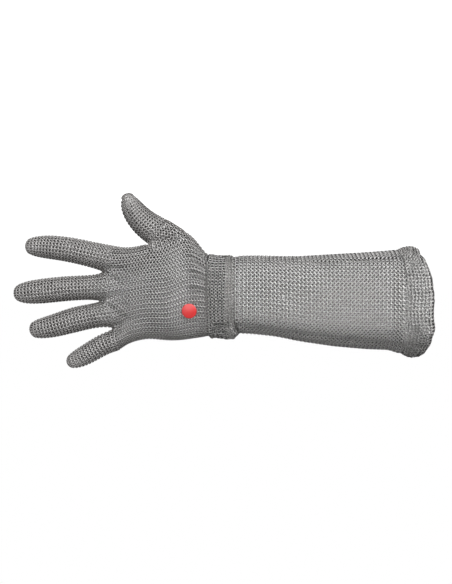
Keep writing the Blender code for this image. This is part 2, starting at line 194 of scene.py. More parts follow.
class Surface(Nodes):
    """A material in the making: a node tree with a Principled shader at its end."""

    def __init__(self, name: str) -> None:
        """Start a material.

        Args:
            name: The material's name.
        """
        self.material = bpy.data.materials.new(name)
        self.material.use_nodes = True
        super().__init__(self.material.node_tree)
        self.shader = self.tree.nodes["Principled BSDF"]

    def finish(self, **sockets: Any) -> bpy.types.Material:
        """Plug the shader's inputs.

        Args:
            sockets: Values or links by socket name, with _ for a space.

        Returns:
            The material.
        """
        for key, value in sockets.items():
            self.plug(self.shader, key.replace("_", " "), value)
        return self.material

    def mix(self, share: Value, dark: Any, bright: Any) -> Socket:
        """Mix two colours, each of them three numbers or a colour socket.

        Args:
            share: How much of the bright colour is taken.
            dark: The colour at 0.
            bright: The colour at 1.

        Returns:
            The mixed colour's socket.
        """
        node = self.node("ShaderNodeMix", {"data_type": "RGBA"}, Factor=share)
        slots = [s for s in node.inputs if s.type == "RGBA"]
        for slot, colour in zip(slots, (dark, bright)):
            if isinstance(colour, Socket):
                self.tree.links.new(colour, slot)
            else:
                slot.default_value = (*colour, 1.0)
        return next(s for s in node.outputs if s.type == "RGBA")


# ---------------------------------------------------------------- finishes
class Line(NamedTuple):
    """A straight line along the glove: its rise along X, and its height where X is 0."""

    slope: float
    height: float


@dataclass(frozen=True)
class SteelFinish:
    """Plain steel wire. The faces that look in are rougher and a darker grey than those that look out:
    painted shade of the glove's inside.

    Each ring has its own tone, and handling has dulled some patches of the mail. Painted shade darkens a
    stretch of X under the wrist band. The faces that look in carry a deeper painted shade too, except between
    two lines along the glove.
    """

    name: str
    dark: Colour
    bright: Colour
    tarnished: Colour
    roughness: float
    grime: tuple[float, float] | None = None
    rubbed: tuple[Line, Line] | None = None
    dirt: Colour = (0.05, 0.046, 0.043)
    grime_fade: float = 2.5
    line_fade: float = 1.0
    tone_share: float = 0.75
    patch_share: float = 0.5
    darkening: float = 0.12
    tone_gloss: float = 0.03
    inner_dullness: float = 0.15
    patch_dullness: float = 0.04
    patch_scale: float = 55.0
    patch_detail: float = 3.0

    def material(self) -> bpy.types.Material:
        """Build the material.

        Returns:
            The material.
        """
        surface = Surface(self.name)
        tone, polish = (
            surface.value(surface.node("ShaderNodeAttribute", {"attribute_name": key}), "Fac")
            for key in ("tone", "polish")
        )
        place = surface.node("ShaderNodeTexCoord").outputs["Object"]
        patches = surface.node(
            "ShaderNodeTexNoise", Vector=place, Scale=self.patch_scale, Detail=self.patch_detail
        )
        wear = surface.value(patches, "Fac")
        shine = tone * self.tone_share + wear * self.patch_share - self.darkening
        # Faces that look in get painted shade of the glove's inside, deeper still outside two lines along the
        # glove.
        inward = self.tarnished
        if self.rubbed:
            inward = surface.mix(self._rubbed(surface, place), self.dirt, self.tarnished)
        colour = surface.mix(polish, inward, surface.mix(shine, self.dark, self.bright))
        # Painted shade under the wrist band.
        if self.grime:
            colour = surface.mix(self._grimed(surface, place), colour, self.dirt)
        rough = self.roughness + self.patch_dullness * (wear - 0.5) - tone * self.tone_gloss
        rough = rough + self.inner_dullness * (1 - polish)
        return surface.finish(Base_Color=colour, Metallic=1.0, Roughness=rough)

    def _grimed(self, surface: Surface, place: Socket) -> Value:
        """Work out how much painted shade lies at each place under the wrist band, fading out over the ends
        of the stretch.

        Args:
            surface: The material in the making.
            place: The place's socket.

        Returns:
            The share of painted shade.
        """
        along = surface.node("ShaderNodeSeparateXYZ", Vector=place).outputs["X"]
        low, high = self.grime
        into = surface.ramp(along, low * MM, (low + self.grime_fade) * MM)
        return into * surface.ramp(along, high * MM, (high - self.grime_fade) * MM)

    def _rubbed(self, surface: Surface, place: Socket) -> Value:
        """Find where the inward faces are spared the deep painted shade.

        Args:
            surface: The material in the making.
            place: The place's socket.

        Returns:
            1 between the two lines, and 0 outside them.
        """
        parts = surface.node("ShaderNodeSeparateXYZ", Vector=place)
        lower, upper = (
            surface.ramp(
                surface.value(parts, "Z") - line.slope * surface.value(parts, "X"),
                (line.height - self.line_fade) * MM,
                (line.height + self.line_fade) * MM,
            )
            for line in self.rubbed
        )
        return lower - upper


@dataclass(frozen=True)
class EnamelFinish:
    """Smooth moulded cap colour with a faint orange-peel surface."""

    name: str
    deep: Colour
    light: Colour
    roughness: float
    mottle_scale: float = 220.0
    mottle_detail: float = 2.0
    mottle_dullness: float = 0.08
    peel_strength: float = 0.05
    peel_depth: float = 0.2
    coat: float = 0.6
    coat_roughness: float = 0.25

    def material(self) -> bpy.types.Material:
        """Build the material.

        Returns:
            The material.
        """
        surface = Surface(self.name)
        place = surface.node("ShaderNodeTexCoord").outputs["Object"]
        mottle = surface.node(
            "ShaderNodeTexNoise", Vector=place, Scale=self.mottle_scale, Detail=self.mottle_detail
        )
        share = surface.value(mottle, "Fac")
        peel = surface.node(
            "ShaderNodeBump", Height=share, Strength=self.peel_strength, Distance=self.peel_depth * MM
        )
        return surface.finish(
            Base_Color=surface.mix(share, self.deep, self.light),
            Roughness=self.roughness + self.mottle_dullness * share,
            Coat_Weight=self.coat,
            Coat_Roughness=self.coat_roughness,
            Normal=peel.outputs["Normal"],
        )


@dataclass(frozen=True)
class FloorFinish:
    """Pale matt studio floor."""

    name: str = "studio_floor"
    tone: float = 0.50
    roughness: float = 0.9

    def material(self) -> bpy.types.Material:
        """Build the material."""
        grey = (self.tone, self.tone, self.tone, 1.0)
        return Surface(self.name).finish(Base_Color=grey, Roughness=self.roughness)


# Colours of the faces that look into the glove: painted shade of its inside, darker in the folded bands.
INWARD_SHADE = (0.30, 0.285, 0.277)
DEEP_INWARD_SHADE = (0.12, 0.114, 0.11)
# The cuff and the hand get painted shade under the wrist band; the cuff also a deep painted shade on its
# inward faces above and below its creases.
CUFF_STEEL = SteelFinish(
    "mail_steel", (0.60, 0.59, 0.585), (0.71, 0.70, 0.69), INWARD_SHADE, 0.44,
    grime=(-13.0, 6.0), rubbed=(Line(-0.08, -21.4), Line(0.024, 31.4)),
)
HAND_STEEL = SteelFinish(
    "hand_steel", (0.47, 0.46, 0.455), (0.54, 0.53, 0.52), INWARD_SHADE, 0.45, grime=(-15.0, 6.0)
)
# The wrist band's inward faces are near black: painted shade in its thick folds.
WRIST_STEEL = SteelFinish("wrist_steel", (0.52, 0.51, 0.50), (0.64, 0.63, 0.62), (0.05, 0.047, 0.045), 0.40)
SEAM_STEEL = SteelFinish("seam_steel", (0.52, 0.51, 0.50), (0.60, 0.59, 0.58), DEEP_INWARD_SHADE, 0.42)
HEM_STEEL = SteelFinish("band_steel", (0.60, 0.59, 0.58), (0.70, 0.69, 0.68), DEEP_INWARD_SHADE, 0.42)
# The rivet's faces carry no marks, so its third colour covers the whole rivet as its plain steel colour.
RIVET_STEEL = SteelFinish("rivet_plate", (0.45, 0.44, 0.43), (0.60, 0.59, 0.58), (0.50, 0.49, 0.48), 0.30)
CAP_RED = EnamelFinish("cap_red", (0.57, 0.022, 0.024), (0.66, 0.036, 0.034), 0.30)


# ---------------------------------------------------------------- small helpers
def unit(vectors: Array) -> Array:
    """Scale vectors to length one."""
    return vectors / np.maximum(np.linalg.norm(vectors, axis=-1, keepdims=True), 1e-9)


def distances(steps: Array) -> Array:
    """How far along itself each point of a line lies, from the steps between its points."""
    return np.concatenate([np.zeros((*steps.shape[:-1], 1)), np.cumsum(steps, axis=-1)], axis=-1)


def around(places: Array) -> Array:
    """Measure the steps round a tube, whose first and last columns are the same line.

    Args:
        places: Points indexed by station and angle.

    Returns:
        The steps.
    """
    steps = np.gradient(places, axis=1)
    steps[:, 0] = steps[:, -1] = (places[:, 1] - places[:, -2]) / 2
    return steps


def outward_of(places: Array) -> Array:
    """Outward directions of a tube of points, indexed by station and angle."""
    return unit(np.cross(around(places), np.gradient(places, axis=0)))


def path_lengths(grids: Array) -> Array:
    """Lengths of the lines along some grids, by grid and step across."""
    return np.linalg.norm(np.diff(grids, axis=1), axis=-1).sum(1)


def even_steps(grids: Array, count: int) -> Array:
    """Find where steps of equal length lie along some grids, as they run on the average.

    Args:
        grids: The points, by grid, step along and step across.
        count: How many steps there are.

    Returns:
        The middles of the steps, in cells of the grids.
    """
    way = distances(np.linalg.norm(np.diff(grids, axis=1), axis=-1).mean(axis=(0, 2)))
    return np.interp((np.arange(count) + 0.5) / count * way[-1], way, np.arange(len(way)))


def read(items: bpy.types.bpy_prop_collection, key: str, kind: type, width: int = 1) -> Array:
    """Read one property of every item of a mesh.

    Args:
        items: The items.
        key: The property's name.
        kind: The type of its numbers.
        width: How many numbers it has.

    Returns:
        One number or row of numbers for each item.
    """
    flat = np.empty(len(items) * width, kind)
    items.foreach_get(key, flat)
    return flat if width == 1 else flat.reshape(-1, width)


def leans(number: Array) -> Array:
    """Which way the rings of each row lean, as rows are numbered: neighbouring rows lean opposite ways."""
    return np.where(number % 2, -1.0, 1.0)


def spun(bm: bmesh.types.BMesh, geometry: Sequence[Any], steps: int) -> None:
    """Spin an outline once round Z, and close the seam and the poles.

    Args:
        bm: The bmesh that holds it.
        geometry: The outline's edges, with its corners if it is open.
        steps: How many steps the turn has.
    """
    bmesh.ops.spin(
        bm, geom=geometry, cent=(0, 0, 0), axis=(0, 0, 1), dvec=(0, 0, 0),
        angle=math.tau, steps=steps, use_merge=True, use_duplicate=False,
    )
    bmesh.ops.remove_doubles(bm, verts=bm.verts, dist=MERGING)


def smooth_mesh(bm: bmesh.types.BMesh, name: str) -> bpy.types.Mesh:
    """Turn a bmesh into a smooth mesh.

    Args:
        bm: The bmesh, which is freed.
        name: The mesh's name.

    Returns:
        The mesh.
    """
    mesh = bpy.data.meshes.new(name)
    bm.to_mesh(mesh)
    bm.free()
    mesh.shade_smooth()
    return mesh


def placed(data: bpy.types.ID) -> bpy.types.Object:
    """Put a mesh or a camera into the scene.

    Args:
        data: The mesh or the camera, whose name the object takes.

    Returns:
        The object.
    """
    made = bpy.data.objects.new(data.name, data)
    bpy.context.scene.collection.objects.link(made)
    return made


def finish_piece(piece: bpy.types.Object, nodes: Sequence[str]) -> None:
    """Fix a piece to the frame and hide the nodes that it stands for.

    Args:
        piece: The piece.
        nodes: The frame's nodes that it stands for.
    """
    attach(piece, "root")
    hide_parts(*nodes)


# ---------------------------------------------------------------- knots and folds
@dataclass
class Knots:
    """Where rings sit: one row of each array for each ring.

    leaning is +1 or -1, pitch is the step between rings of a row, and spacing the step between rows.
    """

    places: Array
    along: Array
    outward: Array
    leaning: Array
    pitch: Array
    spacing: Array

    @classmethod
    def joined(cls, parts: Sequence[Knots]) -> Knots:
        """Put several sets of knots together."""
        return cls(*[np.concatenate([getattr(p, key) for p in parts]) for key in cls.__dataclass_fields__])

    @classmethod
    def kept(cls, mask: Array, *arrays: Array) -> Knots:
        """Keep the knots that a mask keeps.

        Args:
            mask: The mask.
            arrays: The fields in their order, each of the mask's shape or stretched to it.

        Returns:
            The kept knots.
        """
        return cls(*[np.broadcast_to(a, mask.shape + a.shape[mask.ndim :])[mask] for a in arrays])

    def where(self, mask: Array) -> Knots:
        """The knots that a mask keeps."""
        return self.kept(mask, *[getattr(self, key) for key in self.__dataclass_fields__])

    def stirred(self, looseness: float) -> Knots:
        """Move each knot a little and turn it a little out of its row.

        Args:
            looseness: How far the knots move.

        Returns:
            The moved knots.
        """
        chance = np.random.default_rng(len(self.places) + 7)
        places = self.places + chance.normal(0.0, looseness, self.places.shape)
        outward = unit(self.outward + chance.normal(0.0, looseness / 2, self.outward.shape))
        return Knots(places, self.along, outward, self.leaning, self.pitch, self.spacing)


@dataclass(frozen=True)
class Fold:
    """A soft ridge or groove along a straight line of X and Z, pressed into the back of the mail.

    A positive height stands out of the surface, and a negative one is a groove.
    """

    start: tuple[float, float]
    end: tuple[float, float]
    height: float
    width: float

    def lift(self, places: Array, outward: Array) -> Array:
        """How far the fold moves each place outward.

        Args:
            places: Points of the surface.
            outward: Their outward directions.

        Returns:
            The distance for each point.
        """
        a, b = np.array(self.start), np.array(self.end)
        flat = places[..., (0, 2)] - a
        way = b - a
        share = np.clip((flat @ way) / (way @ way), 0.0, 1.0)
        away = np.linalg.norm(flat - share[..., None] * way, axis=-1)
        facing = np.clip(-outward[..., 1], 0.0, 1.0)
        return self.height * facing * np.exp(-((away / self.width) ** 2))


def folded(places: Array, outward: Array, folds: Sequence[Fold]) -> Array:
    """Press folds into a surface.

    Args:
        places: Points of the surface.
        outward: Their outward directions.
        folds: The folds.

    Returns:
        The moved points.
    """
    lift = sum((fold.lift(places, outward) for fold in folds), np.zeros(places.shape[:-1]))
    return places + outward * lift[..., None]


@dataclass(frozen=True)
class Pleats:
    """Short pleats in the back of the mail: of every three rows one stands up and one sinks in.

    reach and heights each hold four values: where the pleats begin, are full, are still full, and end.
    rises are how far each of the three rows stands out, in depths.
    """

    reach: tuple[float, float, float, float]
    heights: tuple[float, float, float, float]
    depth: float
    rises: tuple[float, float, float] = (0.3, 0.0, -1.0)

    def shift(self, places: Array, outward: Array, row: Array) -> Array:
        """How the pleats move rings.

        Args:
            places: The rings' places, by step and row.
            outward: Their outward directions.
            row: The number of each row.

        Returns:
            The moves.
        """
        swell = (0.0, 1.0, 1.0, 0.0)
        share = np.interp(places[..., 0], self.reach, swell)
        share = share * np.interp(places[..., 2], self.heights, swell) * (outward[..., 1] < 0)
        way = np.array(self.rises)[row % 3] * self.depth
        return outward * (share * way)[..., None]


# ---------------------------------------------------------------- rings and mail
@dataclass(frozen=True)
class RingStock:
    """One kind of ring.

    Rings lean by easy_lean where their steps have the easy measures, less where the steps are wider, and
    always within lean_limits. They are drawn smaller where the steps are under the full measures, as at a
    fingertip, but never smaller than least_fit.
    """

    outer_diameter: float = 4.3
    wire: float = 0.7
    bends: int = 8
    wire_sides: int = 3
    wire_gain: float = 1.2
    polished_slope: float = 0.2
    lean_share: float = 0.9
    lean_limits: tuple[float, float] = (12.0, 40.0)
    easy_lean: float = 32.5
    easy_pitch: float = 2.8
    easy_spacing: float = 1.2
    pitch_effect: float = 5.0
    spacing_effect: float = 7.6
    spacing_range: float = 2.0
    full_pitch: float = 2.3
    full_spacing: float = 1.15
    least_fit: float = 0.72

    @property
    def radius(self) -> float:
        """Radius of the wire's middle line."""
        return (self.outer_diameter - self.wire) / 2

    def template(self) -> bpy.types.Object:
        """Spin one ring round its own +Z. Its hidden keel has half the bends.

        Returns:
            The ring, as an object that isn't shown.
        """
        bm = bmesh.new()
        thickness = self.wire / 2 * self.wire_gain * MM
        made = bmesh.ops.create_circle(bm, segments=self.wire_sides, radius=thickness)
        upright = Vector((0, 0, 1)).rotation_difference((0, 1, 0)).to_matrix()
        bmesh.ops.rotate(bm, verts=made["verts"], cent=(0, 0, 0), matrix=upright)
        bmesh.ops.translate(bm, verts=made["verts"], vec=(self.radius * MM, 0, 0))
        spun(bm, bm.edges[:], self.bends)
        low = min(v.co.z for v in bm.verts)
        keel = [v for v in bm.verts if v.co.z < low + MERGING]
        keel.sort(key=lambda v: math.atan2(v.co.y, v.co.x) % math.tau)
        for kept, joined in zip(keel[::2], keel[1::2]):
            bmesh.ops.pointmerge(bm, verts=[kept, joined], merge_co=kept.co)
        bmesh.ops.recalc_face_normals(bm, faces=bm.faces)
        # Faces that look out are marked; the steel gives the others a painted shade of the glove's inside.
        polish = bm.faces.layers.float.new("polish")
        for face in bm.faces:
            face[polish] = 1.0 if face.normal.z > self.polished_slope else 0.0
        return bpy.data.objects.new("ring", smooth_mesh(bm, "ring"))

    def lean(self, pitch: Array, spacing: Array) -> Array:
        """Find the angle at which linked rings clear each other best.

        Args:
            pitch: Steps between rings of a row.
            spacing: Steps between rows.

        Returns:
            Angles out of the sheet, in radians.
        """
        wider = np.clip(spacing - self.easy_spacing, 0.0, self.spacing_range)
        degrees = self.easy_lean - self.pitch_effect * (pitch - self.easy_pitch)
        degrees = degrees - self.spacing_effect * wider**2
        return np.radians(np.clip(degrees * self.lean_share, *self.lean_limits))

    def fit(self, pitch: Array, spacing: Array) -> Array:
        """The size at which rings still fit where rows run together."""
        return np.clip(np.minimum(pitch / self.full_pitch, spacing / self.full_spacing), self.least_fit, 1.0)


class MailMaker:
    """Weaves mail: it sets one ring on every knot and joins them into one mesh."""

    GUIDES = {"slant": "FLOAT_VECTOR", "across": "FLOAT_VECTOR", "fit": "FLOAT"}

    def __init__(self, stock: RingStock) -> None:
        """Make the ring that every piece repeats.

        Args:
            stock: The kind of ring.
        """
        self.stock = stock
        self.ring = stock.template()
        self.total = 0

    def weave(
        self, name: str, knots: Knots, finish: bpy.types.Material, slot: str, nodes: Sequence[str]
    ) -> bpy.types.Object:
        """Make one piece of mail.

        Args:
            name: The piece's name.
            knots: Where its rings sit.
            finish: Its material.
            slot: Not used.
            nodes: The frame's nodes that it stands for.

        Returns:
            The finished piece.
        """
        cloud = self._points(name, knots)
        weaver = cloud.modifiers.new("weave", "NODES")
        weaver.node_group = self._tree(name, finish)
        graph = bpy.context.evaluated_depsgraph_get()
        mesh = bpy.data.meshes.new_from_object(cloud.evaluated_get(graph))
        bpy.data.objects.remove(cloud)
        for guide in self.GUIDES:
            mesh.attributes.remove(mesh.attributes[guide])
        mesh.name = name
        piece = placed(mesh)
        finish_piece(piece, nodes)
        self.total += len(mesh.loops) - 2 * len(mesh.polygons)
        LOG.info("%s: %d rings", name, len(knots.places))
        return piece

    def _points(self, name: str, knots: Knots) -> bpy.types.Object:
        """Lay out a cloud of points that carries each ring's place, turn, fit and tone.

        Args:
            name: The piece's name.
            knots: Where its rings sit.

        Returns:
            The cloud.
        """
        across = unit(np.cross(knots.outward, knots.along))
        outward = unit(np.cross(knots.along, across))
        lean = self.stock.lean(knots.pitch, knots.spacing) * knots.leaning
        slant = unit(knots.along) * np.cos(lean)[:, None] + outward * np.sin(lean)[:, None]
        fit = self.stock.fit(knots.pitch, knots.spacing)
        tone = np.random.default_rng(len(knots.places)).random(len(knots.places))
        mesh = bpy.data.meshes.new(name + "_points")
        mesh.vertices.add(len(knots.places))
        mesh.vertices.foreach_set("co", (knots.places * MM).astype(np.float32).ravel())
        for (key, kind), data in zip([*self.GUIDES.items(), ("tone", "FLOAT")], (slant, across, fit, tone)):
            member = "vector" if kind == "FLOAT_VECTOR" else "value"
            mesh.attributes.new(key, kind, "POINT").data.foreach_set(member, data.astype(np.float32).ravel())
        return placed(mesh)

    def _tree(self, name: str, finish: bpy.types.Material) -> bpy.types.NodeTree:
        """Build geometry nodes that set the ring on every point, turned as its attributes say.

        Args:
            name: The piece's name.
            finish: Its material.

        Returns:
            The node tree.
        """
        tree = bpy.data.node_groups.new(name + "_weave", "GeometryNodeTree")
        for way in ("INPUT", "OUTPUT"):
            tree.interface.new_socket("Geometry", in_out=way, socket_type="NodeSocketGeometry")
        nodes = Nodes(tree)
        slant, across, fit = (
            nodes.node("GeometryNodeInputNamedAttribute", {"data_type": kind}, Name=key).outputs["Attribute"]
            for key, kind in self.GUIDES.items()
        )
        axes = {"primary_axis": "X", "secondary_axis": "Y"}
        turn = nodes.node("FunctionNodeAxesToRotation", axes, Primary_Axis=slant, Secondary_Axis=across)
        rings = nodes.node(
            "GeometryNodeInstanceOnPoints",
            Points=nodes.node("NodeGroupInput").outputs["Geometry"],
            Instance=nodes.node("GeometryNodeObjectInfo", Object=self.ring).outputs["Geometry"],
            Rotation=turn.outputs["Rotation"],
            Scale=fit,
        )
        real = nodes.node("GeometryNodeRealizeInstances", Geometry=rings.outputs["Instances"])
        dressed = nodes.node("GeometryNodeSetMaterial", Geometry=real.outputs["Geometry"], Material=finish)
        nodes.node("NodeGroupOutput", Geometry=dressed.outputs["Geometry"])
        return tree


class Patch:
    """One fine grid, read at some places along it and at rows across it."""

    REACH = 0.45             # how far on each side of a place its steps are measured, in cells

    def __init__(
        self, places: Array, outward: Array, along: Array, rows: Sequence[float], step: float
    ) -> None:
        """Read the grid.

        Args:
            places: Its points, by step along and step across.
            outward: Their outward directions.
            along: Where it is read along itself, in cells.
            rows: Where its rows lie across it, from 0 to 1.
            step: The distance between two rows on that scale.
        """
        cells = len(places) - 1
        across = np.asarray(rows) * cells
        stride = np.gradient(along) if len(along) > 1 else np.array([float(cells)])
        reach = self.REACH
        self.places = self._read(places, along, across)
        self.outward = unit(self._read(outward, along, across))
        ahead = self._read(places, along + reach, across) - self._read(places, along - reach, across)
        beside = self._read(places, along, across + reach) - self._read(places, along, across - reach)
        self.along = unit(ahead)
        self.pitch = np.linalg.norm(ahead, axis=-1) / reach * stride[:, None]
        self.spacing = np.linalg.norm(beside, axis=-1) / (2 * reach) * cells * step

    @staticmethod
    def _read(grid: Array, along: Array, across: Array) -> Array:
        """Read a grid between its points, without leaving it.

        Args:
            grid: The grid.
            along: Where it is read along itself, in cells.
            across: Where it is read across itself, in cells.

        Returns:
            What it holds at every crossing of the two.
        """
        last = len(grid) - 1
        along, across = np.clip(along, 0, last), np.clip(across, 0, last)
        i, j = np.minimum(along.astype(int), last - 1), np.minimum(across.astype(int), last - 1)
        u, v = (along - i)[:, None, None], (across - j)[None, :, None]
        near = grid[i][:, j] * (1 - v) + grid[i][:, j + 1] * v
        far = grid[i + 1][:, j] * (1 - v) + grid[i + 1][:, j + 1] * v
        return near * (1 - u) + far * u

    def knots(self, keep: Array, lean: Array, heading: int) -> Knots:
        """The knots that a mask keeps.

        Args:
            keep: The mask, by step and row.
            lean: Which way the rings of each row lean.
            heading: Which way the rows run along the grid.

        Returns:
            The knots.
        """
        return Knots.kept(
            keep, self.places, self.along * heading, self.outward, lean[None, :], self.pitch, self.spacing
        )


# ---------------------------------------------------------------- the hand
@dataclass(frozen=True)
class PalmSection:
    """One oval round the hand.

    valley is how deep the grooves between the knuckles are there, and gather how far the mail crowds to the
    thumb side.
    """

    x: float
    thumb_side: float
    little_side: float
    back: float
    palm: float
    roundness: float
    valley: float
    gather: float = 0.0


@dataclass(frozen=True)
class DigitSection:
    """One oval round a digit: its middle, its width across the hand and its depth."""

    x: float
    z: float
    y: float
    width: float
    depth: float

    @property
    def middle(self) -> Vector:
        """The oval's middle."""
        return Vector((self.x, self.y, self.z))


@dataclass(frozen=True)
class Rows:
    """The rows in one column of faces: the first one's number, where each lies, and the step between them."""

    first: int
    shares: tuple[float, ...]
    step: float

    @classmethod
    def laid(cls, groups: Iterable[tuple[int, int]]) -> list[Rows]:
        """Number rows through over groups of columns, with equal steps in each group.

        Args:
            groups: How many columns each group has, and how many rows it gets.

        Returns:
            The rows of each column.
        """
        made = []
        first = 0
        for columns, count in groups:
            step = columns / count
            places = (np.arange(count) + 0.5) * step
            for column in range(columns):
                inside = np.flatnonzero((places >= column) & (places < column + 1))
                made.append(cls(first + int(inside[0]), tuple(places[inside] - column), step))
            first += count
        return made


@dataclass
class Run:
    """Mail rows that go on from band to band, each band a cage face for every column that it has.

    heading is +1 where the ring count grows away from the knuckles to the wrist, and -1 the other way.
    rows are each column's rows, and pitches the step between rings of a row there. A band named in
    ringwise has its rows round the piece instead, at the spacing given.
    """

    heading: int
    rows: list[Rows]
    pitches: list[float]
    bands: list[dict[int, int]] = field(default_factory=list)
    ringwise: dict[int, float] = field(default_factory=dict)

    @classmethod
    def over(
        cls, heading: int, columns: Sequence[int], counts: Sequence[int], pitches: Sequence[float]
    ) -> Run:
        """Lay a run's rows over groups of columns.

        Args:
            heading: The run's heading.
            columns: How many columns each group has.
            counts: How many rows each group gets.
            pitches: The step between rings of a row in each group.

        Returns:
            The run, still without bands.
        """
        rows = Rows.laid(zip(columns, counts))
        return cls(heading, rows, [pitch for many, pitch in zip(columns, pitches) for _ in range(many)])


class Cage:
    """A coarse cage of four-sided faces, read back as one fine square grid for each face."""

    LEVEL = 3
    CELLS = 2**LEVEL

    def __init__(self) -> None:
        """Start an empty cage."""
        self.bm = bmesh.new()
        self.uv = self.bm.loops.layers.uv.new("cell")
        self.id = self.bm.faces.layers.int.new("cell_id")
        self.count = 0

    def ring(self, points: Iterable[Vector]) -> list[Vert]:
        """Add the vertices of one ring."""
        return [self.bm.verts.new(p) for p in points]

    def face(self, corners: Sequence[Vert]) -> int:
        """Add one face.

        Args:
            corners: Its corners: start, start of the next column, end of that column, end.

        Returns:
            The face's number.
        """
        made = self.bm.faces.new(corners)
        for loop, spot in zip(made.loops, ((0, 0), (0, 1), (1, 1), (1, 0))):
            loop[self.uv].uv = spot
        made[self.id] = self.count
        self.count += 1
        return self.count - 1

    def skin(
        self,
        ring: Sequence[Vert],
        following: Sequence[Vert],
        skipped: Sequence[int] = (),
    ) -> dict[int, int]:
        """Add the faces between two closed rings.

        Args:
            ring: The first ring.
            following: The second ring.
            skipped: Columns that stay open.

        Returns:
            The face's number for each column.
        """
        count = len(ring)
        return {
            k: self.face((ring[k], ring[(k + 1) % count], following[(k + 1) % count], following[k]))
            for k in range(count)
            if k not in skipped
        }

    def grids(self) -> tuple[Array, Array]:
        """Smooth the cage.

        Returns:
            The points and the outward directions, both indexed by face, step along and step across.
        """
        loose = [v for v in self.bm.verts if not v.link_faces]
        bmesh.ops.delete(self.bm, geom=loose, context="VERTS")
        bmesh.ops.recalc_face_normals(self.bm, faces=self.bm.faces)
        guide = placed(smooth_mesh(self.bm, "cage"))
        smooth = guide.modifiers.new("smooth", "SUBSURF")
        smooth.levels = smooth.render_levels = self.LEVEL
        smooth.uv_smooth = "NONE"
        graph = bpy.context.evaluated_depsgraph_get()
        fine = guide.evaluated_get(graph).to_mesh()
        vertex = read(fine.loops, "vertex_index", np.int32)
        spots = np.rint(read(fine.uv_layers["cell"].uv, "vector", np.float32, 2) * self.CELLS).astype(int)
        cell = np.repeat(read(fine.attributes["cell_id"].data, "value", np.int32), 4)
        places, outward = (np.zeros((self.count, self.CELLS + 1, self.CELLS + 1, 3)) for _ in range(2))
        places[cell, spots[:, 0], spots[:, 1]] = read(fine.vertices, "co", np.float32, 3)[vertex]
        outward[cell, spots[:, 0], spots[:, 1]] = read(fine.vertex_normals, "vector", np.float32, 3)[vertex]
        bpy.data.objects.remove(guide)
        return places, outward


